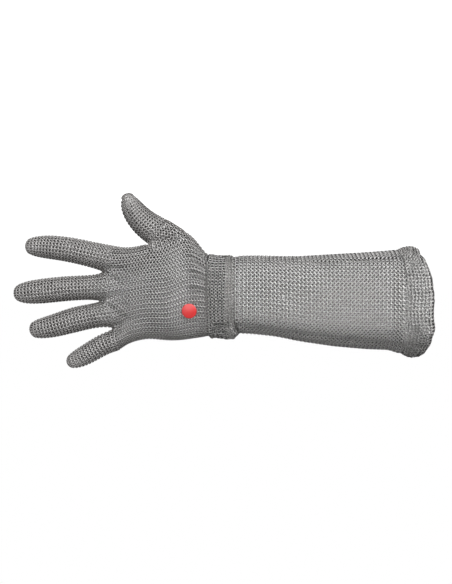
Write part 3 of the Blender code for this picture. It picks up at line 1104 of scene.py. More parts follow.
@dataclass
class MailHand:
    """The palm, the four fingers and the thumb, woven as one sheet and kept as seven pieces.

    The sheet has drawn rows on the back and slack rows, which lie closer, on the palm side.
    """

    SIDE_COLUMNS = 13                    # on each side of the palm: three for each finger, one at the edge
    VALLEYS = (3, 6, 9)                  # corners of the palm's rings that lie between two knuckles
    FINGER_COLUMNS = (3, 1, 3, 1)        # of the back, one side, the palm side and the other side
    FINGERTIP = (1, 2, 5, 6)             # the middle corners of a fingertip's back and palm side
    THUMB_COLUMNS = (6, 5, 1)            # of the back, the palm side and the strip between them
    OVAL_STEPS = 90

    finish: SteelFinish
    slot: str = "steel_mail"
    web_half_depth: float = 4.0
    knuckle_depth: float = 12.5
    knuckle_shares: tuple[float, float] = (0.29, 0.71)
    finger_growth: float = 1.09
    thumb_growth: float = 1.035
    palm_pitch: float = 3.04
    finger_pitch: float = 3.32
    thumb_pitch: float = 3.2
    drawn_rows: int = 46
    slack_rows: int = 92
    slack_pitch: float = 3.05
    slack_spacing: float = 1.3
    mound_pitch: float = 3.6
    mound_spacing: float = 1.5
    finger_rows: tuple[int, int, int, int] = (15, 6, 21, 6)
    thumb_rows: tuple[int, int, int] = (24, 25, 4)
    knuckle_edges: tuple[tuple[float, float], ...] = (
        (-107.0, 49.2),
        (-112.8, 22.4),
        (-117.6, -6.0),
        (-101.6, -32.0),
        (-99.0, -54.8),
    )
    palm_sections: tuple[PalmSection, ...] = (
        PalmSection(-91.0, 46.8, -47.8, 14.5, 14.5, 2.5, 3.0),
        PalmSection(-72.5, 51.5, -43.6, 16.5, 16.5, 2.4, 0.8),
        PalmSection(-60.8, 52.0, -45.0, 17.5, 18.5, 2.3, 0.2),
        PalmSection(-49.0, 56.0, -46.0, 18.5, 20.5, 2.3, 0.0),
        PalmSection(-36.3, 64.6, -45.8, 19.5, 21.5, 2.2, 0.0, 0.08),
        PalmSection(-25.0, 56.8, -44.2, 20.5, 22.0, 2.2, 0.0, 0.25),
        PalmSection(-13.5, 38.8, -42.2, 21.2, 22.0, 2.2, 0.0, 0.42),
        PalmSection(-3.0, 36.2, -38.2, 21.5, 22.0, 2.2, 0.0, 0.42),
    )
    thumb_between: tuple[int, int] = (1, 4)
    digits: dict[str, tuple[DigitSection, ...]] = field(
        default_factory=lambda: {
            "index_finger": (
                DigitSection(-124.5, 39.0, 0.0, 25.8, 22.5),
                DigitSection(-145.0, 44.2, 0.4, 25.2, 21.6),
                DigitSection(-168.0, 47.2, 2.6, 24.0, 20.4),
                DigitSection(-184.0, 47.9, 5.0, 20.8, 17.0),
                DigitSection(-190.0, 48.0, 6.6, 14.4, 8.6),
            ),
            "middle_finger": (
                DigitSection(-127.0, 7.4, 0.0, 24.4, 22.8),
                DigitSection(-150.0, 6.6, 0.5, 24.8, 21.8),
                DigitSection(-176.0, 3.7, 3.2, 25.2, 20.6),
                DigitSection(-195.5, 1.9, 6.6, 22.4, 17.4),
                DigitSection(-201.6, 1.7, 8.4, 14.8, 8.8),
            ),
            "ring_finger": (
                DigitSection(-123.0, -19.9, 0.0, 24.0, 22.0),
                DigitSection(-143.0, -23.8, 0.6, 25.8, 21.0),
                DigitSection(-165.0, -30.8, 2.8, 23.0, 19.8),
                DigitSection(-182.0, -33.9, 5.4, 20.0, 16.2),
                DigitSection(-185.8, -34.7, 6.8, 13.8, 8.4),
            ),
            "little_finger": (
                DigitSection(-112.5, -46.8, 0.2, 21.6, 19.8),
                DigitSection(-124.5, -54.0, 0.8, 21.0, 19.0),
                DigitSection(-136.5, -60.9, 2.0, 20.2, 17.8),
                DigitSection(-145.4, -64.9, 3.0, 16.8, 14.4),
                DigitSection(-148.8, -66.0, 3.8, 12.0, 7.6),
            ),
        }
    )
    thumb: tuple[DigitSection, ...] = (
        DigitSection(-60.4, 61.0, 3.0, 31.0, 29.0),
        DigitSection(-75.0, 69.6, 7.0, 28.4, 26.0),
        DigitSection(-86.2, 82.0, 11.0, 24.6, 22.6),
        DigitSection(-91.4, 92.0, 13.4, 19.4, 17.0),
        DigitSection(-93.2, 98.4, 14.6, 12.4, 10.0),
    )
    finger_tip_bulge: float = 3.4
    thumb_tip_share: float = 0.62
    thumb_tip_bulge: float = 3.0
    knuckle_folds: tuple[Fold, ...] = (
        Fold((-114.0, 22.0), (-98.0, 12.0), -1.6, 2.2),
        Fold((-112.0, 24.0), (-96.0, 25.0), -1.0, 2.0),
        Fold((-114.0, -6.5), (-92.0, -21.0), -1.8, 2.2),
        Fold((-113.0, -3.0), (-90.0, -10.0), -1.4, 2.0),
        Fold((-102.0, -31.0), (-88.0, -27.0), -1.6, 2.2),
        Fold((-101.0, -35.0), (-86.0, -38.0), -1.0, 2.0),
    )
    thumb_folds: tuple[Fold, ...] = (
        Fold((-73.0, 52.5), (-44.0, 56.0), -2.0, 2.6),
        Fold((-70.0, 57.5), (-52.0, 63.0), -0.9, 1.8),
    )
    pleats: Pleats = Pleats((-34.0, -27.0, -16.0, -10.0), (0.0, 8.0, 34.0, 40.0), 1.9)

    def _half_oval(self, section: PalmSection, depth: float) -> list[tuple[float, float]]:
        """Walk at equal steps from an oval's thumb side round one side to its little finger's side.

        Args:
            section: The oval.
            depth: How deep it is on that side.

        Returns:
            Y and Z of one point for each column.
        """
        turn = np.linspace(0.0, math.pi, self.OVAL_STEPS + 1)
        middle = (section.thumb_side + section.little_side) / 2
        half = (section.thumb_side - section.little_side) / 2
        power = 2 / section.roundness
        y = depth * np.abs(np.sin(turn)) ** power
        z = middle + half * np.sign(np.cos(turn)) * np.abs(np.cos(turn)) ** power
        way = distances(np.hypot(np.diff(y), np.diff(z)))
        even = (np.arange(self.SIDE_COLUMNS) + 0.5) / self.SIDE_COLUMNS
        wanted = way[-1] * (even * (1 - section.gather) + even**2 * section.gather)
        return list(zip(np.interp(wanted, way, y), np.interp(wanted, way, z)))

    def _palm_ring(self, section: PalmSection) -> list[Vector]:
        """Lay out one ring of the palm's cage, with the grooves between the knuckles pressed in.

        Args:
            section: The oval that it follows.

        Returns:
            Its corners, from the thumb side over the back of the hand.
        """
        back = [Vector((section.x, -y, z)) for y, z in self._half_oval(section, section.back)]
        palm = [Vector((section.x, y, z)) for y, z in self._half_oval(section, section.palm)]
        for k in self.VALLEYS:
            back[k].y += section.valley
            palm[k].y -= section.valley
        return back + palm[::-1]

    def _knuckle_ring(self) -> list[Vector]:
        """Lay out the ring that the finger roots share: webs lie deep, and each root stands up between two.

        Returns:
            Its corners, from the thumb side over the back of the hand.
        """
        back = []
        for start, end in zip(self.knuckle_edges, self.knuckle_edges[1:]):
            for share in (0.0, *self.knuckle_shares):
                depth = self.knuckle_depth if share else self.web_half_depth
                x, z = (a + (b - a) * share for a, b in zip(start, end))
                back.append(Vector((x, -depth, z)))
        x, z = self.knuckle_edges[-1]
        back.append(Vector((x, -self.web_half_depth, z)))
        return back + [Vector((p.x, -p.y, p.z)) for p in reversed(back)]

    def _digit_ring(
        self, sections: Sequence[DigitSection], i: int, sides: int, growth: float
    ) -> list[Vector]:
        """Lay out one ring of a digit's cage.

        Args:
            sections: The digit's ovals.
            i: The oval's place among them.
            sides: How many corners the ring has.
            growth: How far the cage lies outside the oval.

        Returns:
            The ring's corners, from the thumb side over the back of the hand.
        """
        here, before, after = sections[i], sections[max(i - 1, 0)], sections[min(i + 1, len(sections) - 1)]
        along = (after.middle - before.middle).normalized()
        across = Vector((along.z, 0.0, -along.x)).normalized()
        back = across.cross(along)
        wide, deep = across * (here.width / 2 * growth), back * (here.depth / 2 * growth)
        turns = (math.tau * (k + 0.5) / sides for k in range(sides))
        return [here.middle + wide * math.cos(turn) + deep * math.sin(turn) for turn in turns]

    def _tube(
        self,
        cage: Cage,
        run: Run,
        root: Sequence[Vert],
        sections: Sequence[DigitSection],
        growth: float,
    ) -> list[Vert]:
        """Add a digit's tube to the cage, and its bands to the run.

        Args:
            cage: The cage.
            run: The digit's rows.
            root: The ring that the tube starts from.
            sections: The digit's ovals.
            growth: How far the cage lies outside them.

        Returns:
            The tube's last ring.
        """
        ring = list(root)
        for i in range(len(sections)):
            following = cage.ring(self._digit_ring(sections, i, len(ring), growth))
            run.bands.append(cage.skin(ring, following))
            ring = following
        return ring

    def _forward(self, sections: Sequence[DigitSection]) -> Vector:
        """The direction in which a digit's tip points."""
        return (sections[-1].middle - sections[-2].middle).normalized()

    def _finger(self, cage: Cage, root: Sequence[Vert], sections: Sequence[DigitSection]) -> Run:
        """Add one finger to the cage.

        Args:
            cage: The cage.
            root: The ring that the finger starts from.
            sections: Its ovals.

        Returns:
            Its rows.
        """
        drawn = self.finger_pitch
        run = Run.over(-1, self.FINGER_COLUMNS, self.finger_rows, (drawn, drawn, self.slack_pitch, drawn))
        ring = self._tube(cage, run, root, sections, self.finger_growth)
        for k in self.FINGERTIP:
            ring[k].co += self._forward(sections) * self.finger_tip_bulge
        run.bands.append({k: cage.face((ring[k], ring[k + 1], ring[-2 - k], ring[-1 - k])) for k in range(3)})
        return run

    def _thumb(self, cage: Cage, root: Sequence[Vert]) -> Run:
        """Add the thumb to the cage, with a tip of nine faces.

        Args:
            cage: The cage.
            root: The ring that the thumb starts from.

        Returns:
            Its rows.
        """
        drawn = self.thumb_pitch
        run = Run.over(-1, self.THUMB_COLUMNS, self.thumb_rows, (drawn, self.slack_pitch, drawn))
        run.ringwise[0] = self.mound_spacing
        ring = self._tube(cage, run, root, self.thumb, self.thumb_growth)
        rim = ring[1:] + ring[:1]
        middle = sum((v.co for v in rim), Vector()) / len(rim)
        bulge = self._forward(self.thumb) * self.thumb_tip_bulge
        inner = cage.ring(rim[k].co.lerp(middle, self.thumb_tip_share) + bulge for k in (0, 3, 9, 6))
        lines = (
            rim[0:4],
            [rim[11], inner[0], inner[1], rim[4]],
            [rim[10], inner[2], inner[3], rim[5]],
            [rim[9], rim[8], rim[7], rim[6]],
        )
        for a, b in zip(lines, lines[1:]):
            run.bands.append({k: cage.face((a[k], a[k + 1], b[k + 1], b[k])) for k in range(3)})
        return run

    def runs(self, cage: Cage) -> dict[str, Run]:
        """Build the hand's cage.

        Args:
            cage: The empty cage.

        Returns:
            The rows of each piece by name.
        """
        knuckles = cage.ring(self._knuckle_ring())
        rings = [knuckles] + [cage.ring(self._palm_ring(s)) for s in self.palm_sections]
        half = self.SIDE_COLUMNS
        round_about = 2 * half
        first, last = self.thumb_between
        counts, pitches = (self.drawn_rows, self.slack_rows), (self.palm_pitch, self.slack_pitch)
        back, palm = (Run.over(1, (half, half), counts, pitches) for _ in range(2))
        for i, (ring, following) in enumerate(zip(rings, rings[1:])):
            hole = (0, round_about - 1, round_about - 2) if first < i <= last else ()
            faces = cage.skin(ring, following, hole)
            back.bands.append({k: face for k, face in faces.items() if k < half})
            palm.bands.append({k: face for k, face in faces.items() if k >= half})
        made = {"palm_back_mail": back, "palm_inner_mail": palm}
        width = self.FINGER_COLUMNS[0]
        for finger, (name, sections) in enumerate(self.digits.items()):
            columns = range(width * finger, width * (finger + 1) + 1)
            root = [knuckles[k] for k in columns] + [knuckles[-1 - k] for k in reversed(columns)]
            made[f"{name}_mail"] = self._finger(cage, root, sections)
        stretch = rings[first + 1 : last + 2]
        near, far = stretch[0], stretch[-1]
        root = [far[0]] + [r[1] for r in reversed(stretch)] + [near[0], near[-1]]
        root += [r[-2] for r in stretch] + [far[-1]]
        made["thumb_mail"] = self._thumb(cage, root)
        return made

    def _knots(self, run: Run, places: Array, outward: Array) -> Knots:
        """Set the rings of one run on every second crossing of its rows and steps.

        Args:
            run: The run.
            places: The points of all the cage's faces.
            outward: Their outward directions.

        Returns:
            The knots.
        """
        parts = []
        reached = dict.fromkeys(run.pitches, 0)
        for number, band in enumerate(run.bands):
            faces = list(band.values())
            if number in run.ringwise:
                parts.append(self._ringwise(places[faces], outward[faces], run.ringwise[number]))
                continue
            length = path_lengths(places[faces]).mean()
            counts = {pitch: max(2, round(length / (pitch / 2))) for pitch in reached}
            ways = {}
            for pitch in reached:
                side = [face for column, face in band.items() if run.pitches[column] == pitch]
                ways[pitch] = even_steps(places[side or faces], counts[pitch])
            for column, face in band.items():
                rows, pitch = run.rows[column], run.pitches[column]
                patch = Patch(places[face], outward[face], ways[pitch], rows.shares, rows.step)
                crossing = rows.first + np.arange(len(rows.shares))
                patch.places += self.pleats.shift(patch.places, patch.outward, crossing)
                step = reached[pitch] + np.arange(counts[pitch])[:, None] + crossing
                parts.append(patch.knots(step % 2 == (run.heading < 0), leans(crossing), run.heading))
            reached = {pitch: reached[pitch] + counts[pitch] for pitch in reached}
        return Knots.joined(parts)

    def _ringwise(self, places: Array, outward: Array, spacing: float) -> Knots:
        """Set the rings of one band whose rows go round the piece, closer together on its palm side.

        Args:
            places: The points of its faces.
            outward: Their outward directions.
            spacing: The distance between rows on the back.

        Returns:
            The knots.
        """
        length = path_lengths(places).mean()
        parts = []
        reached = 0
        for face in range(len(places)):
            drawn = 2 * face < len(places)
            rows = max(1, round(length / (spacing if drawn else self.slack_spacing)))
            turned = places[face].swapaxes(0, 1)
            pitch = self.mound_pitch if drawn else self.slack_pitch
            steps = max(1, round(path_lengths(turned[None]).mean() / (pitch / 2)))
            way = even_steps(turned[None], steps)
            even = (np.arange(rows) + 0.5) / rows
            patch = Patch(turned, outward[face].swapaxes(0, 1), way, even, 1 / rows)
            number = np.arange(rows)
            step = reached + np.arange(steps)[:, None] + number
            parts.append(patch.knots(step % 2 == 0, leans(number), 1))
            reached += steps
        return Knots.joined(parts)

    def build(self, maker: MailMaker) -> list[bpy.types.Object]:
        """Weave the hand.

        Args:
            maker: What sets the rings.

        Returns:
            The seven pieces.
        """
        cage = Cage()
        runs = self.runs(cage)
        places, outward = cage.grids()
        places = folded(places - outward * WALL_MIDDLE, outward, [*self.knuckle_folds, *self.thumb_folds])
        steel = self.finish.material()
        pieces = []
        for name, run in runs.items():
            node = "palm_body" if name.startswith("palm") else name.removesuffix("_mail")
            pieces.append(maker.weave(name, self._knots(run, places, outward), steel, self.slot, [node]))
        return pieces


# ---------------------------------------------------------------- the arm
@dataclass(frozen=True)
class ArmSection:
    """One oval round the arm. Two creases run along its back, at the heights upper and lower."""

    x: float
    thumb_side: float
    little_side: float
    back: float
    palm: float
    roundness: float
    upper: float
    lower: float
    crease: float


ARM_SECTIONS = (
    ArmSection(-25.0, 55.0, -44.0, 20.5, 22.0, 2.2, 24.0, -20.0, 0.0),
    ArmSection(-19.2, 47.5, -41.3, 20.9, 22.0, 2.2, 24.0, -20.0, 0.0),
    ArmSection(-13.6, 40.6, -41.4, 21.2, 22.0, 2.2, 24.0, -20.0, 0.0),
    ArmSection(-8.2, 37.3, -39.4, 21.4, 22.0, 2.2, 24.0, -20.0, 0.0),
    ArmSection(-2.6, 36.2, -37.2, 21.5, 22.0, 2.2, 24.0, -20.0, 0.0),
    ArmSection(9.0, 36.2, -37.0, 23.2, 23.5, 2.2, 26.0, -26.0, 0.8),
    ArmSection(17.0, 38.8, -37.8, 25.0, 25.5, 2.4, 30.0, -28.0, 2.4),
    ArmSection(34.0, 39.2, -38.8, 27.0, 27.5, 2.6, 32.5, -30.0, 3.0),
    ArmSection(54.0, 38.5, -41.0, 28.8, 29.5, 2.7, 33.0, -32.6, 3.3),
    ArmSection(78.0, 38.4, -45.8, 31.0, 32.0, 2.8, 33.4, -35.6, 3.6),
    ArmSection(110.0, 40.2, -50.4, 34.2, 35.2, 2.8, 35.0, -39.6, 3.9),
    ArmSection(142.0, 42.0, -53.2, 36.6, 37.8, 2.6, 36.6, -42.8, 3.9),
    ArmSection(164.0, 43.8, -54.0, 38.4, 39.4, 2.4, 37.6, -45.0, 3.6),
    ArmSection(173.0, 44.6, -57.4, 39.2, 40.2, 2.4, 38.0, -47.0, 3.0),
    ArmSection(189.0, 43.6, -57.0, 40.0, 41.0, 2.4, 37.0, -48.0, 1.5),
)


class ArmTube:
    """The smooth tube that the cuff and both bands follow."""

    SAMPLES = 361
    BLUR = np.linspace(-4.0, 4.0, 5)
    HOLLOW_SHARE = 0.7           # where the hollow lies, from the lower crease to the little finger's side
    PUSH = (0.0, 0.62, 0.8, 0.55, 0.7, 0.0)     # at both sides, the hollow, the creases and between these

    def __init__(self, sections: Sequence[ArmSection]) -> None:
        """Keep the sections as one array for each field.

        Args:
            sections: The sections.
        """
        self.table = {
            key: np.array([getattr(s, key) for s in sections]) for key in ArmSection.__dataclass_fields__
        }
        self.angle = np.radians(np.linspace(-90.0, 270.0, self.SAMPLES))

    def _field(self, key: str, x: Array) -> Array:
        """One field of the sections at any stations, with the corners between sections rounded."""
        return np.mean([np.interp(x + d, self.table["x"], self.table[key]) for d in self.BLUR], axis=0)

    def outline(self, x: Array) -> Array:
        """Points round the arm.

        Args:
            x: Stations, as one value a ring or one a point.

        Returns:
            An array of rings, each from the palm side over the thumb side, the back and the little side.
        """
        x = np.broadcast_to(x, (x.shape[0], self.SAMPLES))
        f = {key: self._field(key, x) for key in self.table if key != "x"}
        sin, cos = np.sin(self.angle), np.cos(self.angle)
        power = 2 / f["roundness"]
        middle, half = (f["thumb_side"] + f["little_side"]) / 2, (f["thumb_side"] - f["little_side"]) / 2
        z = middle + half * np.sign(cos) * np.abs(cos) ** power
        depth = np.where(sin > 0, f["back"], f["palm"])
        y = -np.sign(sin) * depth * np.abs(sin) ** power
        return np.stack([x, y - self._push(f, z) * (sin > 0), z], axis=-1)

    def _push(self, f: dict[str, Array], z: Array) -> Array:
        """Find how far the back stands out of its oval: most at the lower crease, with a hollow below it.

        Args:
            f: The sections' fields at each point.
            z: The point's height.

        Returns:
            The distance at each point.
        """
        hollow = f["lower"] - self.HOLLOW_SHARE * (f["lower"] - f["little_side"])
        middle = (f["upper"] + f["lower"]) / 2
        marks = (f["little_side"], hollow, f["lower"], middle, f["upper"], f["thumb_side"])
        push = np.zeros_like(z)
        for low, high, start, end in zip(marks, marks[1:], self.PUSH, self.PUSH[1:]):
            share = np.clip((z - low) / np.maximum(high - low, 1e-6), 0.0, 1.0)
            push += (end - start) * share
        return push * f["crease"]


@dataclass(frozen=True)
class Lobe:
    """A bulge of a band at one angle from the thumb side over the back, with shifts of its edges."""

    angle: float
    spread: float
    rise: float
    start_shift: float
    end_shift: float

    def felt(self, angle: Array) -> Array:
        """How much of the lobe is felt at each angle."""
        away = np.abs((angle - self.angle + 180.0) % 360.0 - 180.0)
        return np.exp(-((away / self.spread) ** 2))


@dataclass(frozen=True)
class Rumple:
    """Lumps and hollows of mail that is folded thick: a few long waves that cross each other.

    Each wave has its turns round the arm, its length along it, its phase and its height. wander is how far
    the band's edges go astray along the arm for each unit of height.
    """

    waves: tuple[tuple[float, float, float, float], ...] = ()
    wander: float = 1.2

    def felt(self, x: Array | float, angle: Array) -> Array:
        """How far the lumps stand out.

        Args:
            x: Stations along the arm.
            angle: Angles round it, in degrees.

        Returns:
            The height at each place.
        """
        felt = 0.0 * angle
        for turns, length, phase, height in self.waves:
            felt = felt + height * np.sin(np.radians(turns * angle) + x * (math.tau / length) + phase)
        return felt


class Sleeve:
    """A tube of surface points round the arm, on which mail is laid in straight rows."""

    ROWS = 110               # on each side of the middle of the back, more than any tube has room for

    def __init__(self, places: Array, folds: Sequence[Fold] = ()) -> None:
        """Measure the tube.

        Args:
            places: Points indexed by station and angle.
            folds: Folds that are pressed into it.
        """
        self.places = folded(places, outward_of(places), folds)
        self.outward = outward_of(self.places)
        way = distances(np.linalg.norm(np.diff(self.places, axis=1), axis=-1))
        self.way = way - way[:, way.shape[1] // 2][:, None]

    def at(self, way: Array) -> tuple[Array, Array]:
        """Points and outward directions.

        Args:
            way: Distances round the tube from the middle of its back, by station and row.

        Returns:
            The points and the directions.
        """
        places, outward = (
            np.stack(
                [[np.interp(w, s, g[:, axis]) for w, s, g in zip(way, self.way, grid)] for axis in range(3)],
                axis=-1,
            )
            for grid in (self.places, self.outward)
        )
        return places, unit(outward)

    def knots(self, spacing: Array, offset: float = 0.0, span: tuple[float, float] = (0.0, 1.0)) -> Knots:
        """Lay rows along the tube.

        Args:
            spacing: The distance between rows at each station.
            offset: A shift of all rows, in rows.
            span: The stretch that gets rows, on each side, as shares of the way from the middle of the back
                to the middle of the palm side.

        Returns:
            The knots of every second crossing.
        """
        number = np.arange(-self.ROWS, self.ROWS + 1)
        way = (number + offset) * spacing[:, None]
        places, outward = self.at(way)
        along = np.gradient(places, axis=0)
        share = np.abs(way) / np.where(way < 0, -self.way[:, :1], self.way[:, -1:])
        inside = (share >= span[0]) & (share < span[1])
        keep = inside & ((np.arange(len(way))[:, None] + number) % 2 == 0)
        pitch = np.linalg.norm(along, axis=-1) * 2
        return Knots.kept(keep, places, unit(along), outward, leans(number[None, :]), pitch, spacing[:, None])

    def hoops(self, pitch: float) -> Knots:
        """Lay one row round the tube at each station.

        Args:
            pitch: The step between the rings of a row.

        Returns:
            The knots of every second crossing.
        """
        number = np.arange(-self.ROWS, self.ROWS + 1)
        station = np.arange(len(self.places))[:, None]
        way = np.broadcast_to(number * pitch / 2, (len(self.places), len(number)))
        places, outward = self.at(way)
        along, aside = np.gradient(places, axis=1), np.gradient(places, axis=0)
        inside = (way > self.way[:, :1]) & (way < self.way[:, -1:])
        keep = inside & ((station + number) % 2 == 0)
        pitch, spacing = np.linalg.norm(along, axis=-1) * 2, np.linalg.norm(aside, axis=-1)
        return Knots.kept(keep, places, unit(along), outward, leans(station), pitch, spacing)


@dataclass
class ForearmCuff:
    """The long mail tube over the forearm, kept as a back piece and two lengths of the palm side."""

    tube: ArmTube
    finish: SteelFinish
    slot: str = "steel_mail"
    start: float = -2.0
    end: float = 189.0
    pitch: float = 3.78
    spacing: tuple[float, float] = (1.9, 2.08)
    slack_pitch: float = 3.1
    slack_spacing: tuple[float, float] = (1.28, 1.36)
    drawn_share: float = 0.57
    halfway: float = 95.0
    folds: tuple[Fold, ...] = (
        Fold((10.5, -27.0), (16.5, -34.0), -1.8, 1.6),
        Fold((16.0, -29.5), (72.0, -36.8), -2.0, 2.0),
        Fold((72.0, -36.8), (126.0, -43.4), -2.2, 2.1),
        Fold((126.0, -43.4), (176.0, -49.5), -2.4, 2.2),
        Fold((88.0, 30.8), (172.0, 35.8), -1.6, 1.5),
    )

    def build(self, maker: MailMaker) -> list[bpy.types.Object]:
        """Weave the back of the cuff, and the slack rows of its palm side in two lengths.

        Args:
            maker: What sets the rings.

        Returns:
            The three pieces.
        """
        back = self._half(self.pitch, self.spacing, (0.0, self.drawn_share))
        palm = self._half(self.slack_pitch, self.slack_spacing, (self.drawn_share, 1.0))
        near = palm.places[:, 0] < self.halfway
        steel = self.finish.material()
        return [
            maker.weave("forearm_cuff_back_mail", back, steel, self.slot, ["forearm_cuff"]),
            maker.weave("forearm_cuff_palm_mail", palm.where(near), steel, self.slot, ["forearm_cuff"]),
            maker.weave("forearm_cuff_elbow_mail", palm.where(~near), steel, self.slot, ["forearm_cuff"]),
        ]

    def _half(self, pitch: float, spacing: tuple[float, float], span: tuple[float, float]) -> Knots:
        """Lay the rows of one side.

        Args:
            pitch: The step between the rings of a row.
            spacing: The distance between rows at the wrist and at the hem.
            span: The stretch of the tube that they cover.

        Returns:
            The knots.
        """
        stations = np.arange(self.start, self.end, pitch / 2)[:, None]
        surface = self.tube.outline(stations)
        surface = surface - outward_of(surface) * WALL_MIDDLE
        steps = np.interp(stations[:, 0], (self.start, self.end), spacing)
        return Sleeve(surface, self.folds).knots(steps, span=span)


@dataclass
class FoldedBand:
    """A band of mail folded over on itself: its profile goes from one edge over the outside to the other.

    The profile has rows of station, rise over the arm, and share of the lobes' swelling. looseness is how far
    its rings are stirred.
    """

    BLUR = (-0.8, 0.0, 0.8)

    name: str
    node: str
    tube: ArmTube
    finish: SteelFinish
    profile: tuple[tuple[float, float, float], ...]
    lobes: tuple[Lobe, ...]
    folds: tuple[Fold, ...]
    rumple: Rumple
    slot: str = "folded_steel_mail"
    pitch: float = 3.0
    spacing: float = 1.5
    looseness: float = 0.0
    lay: Lay = Lay.ALONG

    def _stations(self) -> Array:
        """Walk the profile at equal steps, with its corners rounded.

        Returns:
            The three fields of the profile, each at every step.
        """
        rows = np.array(self.profile)
        way = distances(np.hypot(*np.diff(rows[:, :2], axis=0).T))
        wanted = np.arange(0.0, way[-1], self.pitch / 2 if self.lay is Lay.ALONG else self.spacing)
        return np.stack(
            [np.mean([np.interp(wanted + d, way, column) for d in self.BLUR], axis=0) for column in rows.T]
        )

    def surface(self) -> Array:
        """Shape the outside of the band.

        Returns:
            Points indexed by step along the profile and angle.
        """
        x, rise, swell = (column[:, None] for column in self._stations())
        angle = np.degrees(self.tube.angle)[None, :]
        share = (x - x.min()) / (x.max() - x.min())
        shift = sum(
            ((1 - share) * lobe.start_shift + share * lobe.end_shift) * lobe.felt(angle)
            for lobe in self.lobes
        )
        base = self.tube.outline(x + shift + self.rumple.wander * self.rumple.felt(0.0, angle))
        lobes = sum(lobe.rise * lobe.felt(angle) for lobe in self.lobes)
        lift = rise + swell * (lobes + self.rumple.felt(x, angle))
        outward = unit(np.cross(around(base), np.array([1.0, 0.0, 0.0])))
        return base + outward * lift[..., None]

    def build(self, maker: MailMaker) -> list[bpy.types.Object]:
        """Weave the band.

        Args:
            maker: What sets the rings.

        Returns:
            The one piece, in a list.
        """
        sleeve = Sleeve(self.surface(), self.folds)
        if self.lay is Lay.ROUND:
            knots = sleeve.hoops(self.pitch)
        else:
            knots = sleeve.knots(np.full(len(sleeve.places), self.spacing), offset=0.5)
        knots = knots.stirred(self.looseness)
        return [maker.weave(self.name, knots, self.finish.material(), self.slot, [self.node])]


# ---------------------------------------------------------------- the button
@dataclass
class PressButton:
    """The domed cap on the back of the hand, over a plain rivet that goes through the mail."""

    cap: EnamelFinish
    rivet: SteelFinish
    steps: int = 48
    dome_corners: int = 12
    edge_corners: int = 5
    rim_height: float = 0.9
    rounding: float = 0.35
    shaft_radius: float = 1.9
    shaft_gap: float = 0.3
    flange_height: float = 1.0
    bevel: float = 0.3
    depth_share: float = 0.86

    def _turned(
        self, name: str, profile: Sequence[tuple[float, float]], seat: Vector, outward: Vector
    ) -> bpy.types.Object:
        """Spin a half outline round the button's own line.

        Args:
            name: The piece's name.
            profile: Radius and height of each corner, from the top to the foot.
            seat: Where height 0 lies.
            outward: The line that it is spun round.

        Returns:
            The piece.
        """
        bm = bmesh.new()
        path = [bm.verts.new((radius * MM, 0.0, height * MM)) for radius, height in profile]
        for a, b in zip(path, path[1:]):
            bm.edges.new((a, b))
        spun(bm, bm.verts[:] + bm.edges[:], self.steps)
        bmesh.ops.recalc_face_normals(bm, faces=bm.faces)
        turn = outward.to_track_quat("Z", "Y").to_matrix()
        bmesh.ops.rotate(bm, verts=bm.verts, cent=(0, 0, 0), matrix=turn)
        bmesh.ops.translate(bm, verts=bm.verts, vec=seat * MM)
        return placed(smooth_mesh(bm, name))

    def _cap_profile(self, radius: float, height: float) -> list[tuple[float, float]]:
        """Outline the cap: a dome over a rim with a rounded lower edge.

        Args:
            radius: The cap's radius.
            height: The cap's height.

        Returns:
            Radius and height of each corner.
        """
        rise = height - self.rim_height
        ball = (radius**2 + rise**2) / (2 * rise)
        dome = [
            (ball * math.sin(a), height - ball * (1 - math.cos(a)))
            for a in np.linspace(0.0, math.asin(radius / ball), self.dome_corners)
        ]
        edge = [
            (radius - self.rounding * (1 - math.cos(a)), self.rounding * (1 - math.sin(a)))
            for a in np.linspace(0.0, math.pi / 2, self.edge_corners)
        ]
        return [*dome, *edge, (0.0, 0.0)]

    def _rivet_profile(self, flange: float, depth: float) -> list[tuple[float, float]]:
        """Outline the rivet: a shaft with a flange at its foot.

        Args:
            flange: The flange's radius.
            depth: How far the flange's foot lies under the cap.

        Returns:
            Radius and height of each corner.
        """
        shoulder = self.flange_height - depth
        return [
            (0.0, -self.shaft_gap), (self.shaft_radius, -self.shaft_gap), (self.shaft_radius, shoulder),
            (flange - self.bevel, shoulder), (flange, shoulder - self.bevel),
            (flange, self.bevel - depth), (flange - self.bevel, -depth), (0.0, -depth),
        ]

    def build(self) -> list[bpy.types.Object]:
        """Make the cap and the rivet where the frame has them.

        Returns:
            The two pieces.
        """
        low, high = (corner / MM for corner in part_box("button_cap"))
        shaft_low, shaft_high = (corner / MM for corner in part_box("button_rivet"))
        middle = (low + high) / 2
        outward = (middle - (shaft_low + shaft_high) / 2).normalized()
        radius = (high.z - low.z) / 2 / math.sqrt(1 - outward.z**2)
        height = (high.y - low.y) - radius * 2 * math.sqrt(1 - outward.y**2)
        foot = middle - outward * height / 2
        flange = (shaft_high.z - shaft_low.z) / 2
        depth = (shaft_high.y - shaft_low.y) * self.depth_share
        pieces = []
        dome, stem = self._cap_profile(radius, height), self._rivet_profile(flange, depth)
        for name, profile, finish, slot, node in (
            ("button_cap_dome", dome, self.cap, "red_button", "button_cap"),
            ("button_rivet_turned", stem, self.rivet, "rivet_steel", "button_rivet"),
        ):
            piece = self._turned(name, profile, foot, outward)
            piece.data.materials.append(finish.material())
            finish_piece(piece, [node])
            LOG.info("%s: %d corners", name, len(profile))
            pieces.append(piece)
        return pieces


# ---------------------------------------------------------------- the studio
@dataclass(frozen=True)
class Glow:
    """A soft patch of light on the studio's walls: how bright it is and how near its middle it fades."""

    toward: tuple[float, float, float]
    level: float
    fade: tuple[float, float]


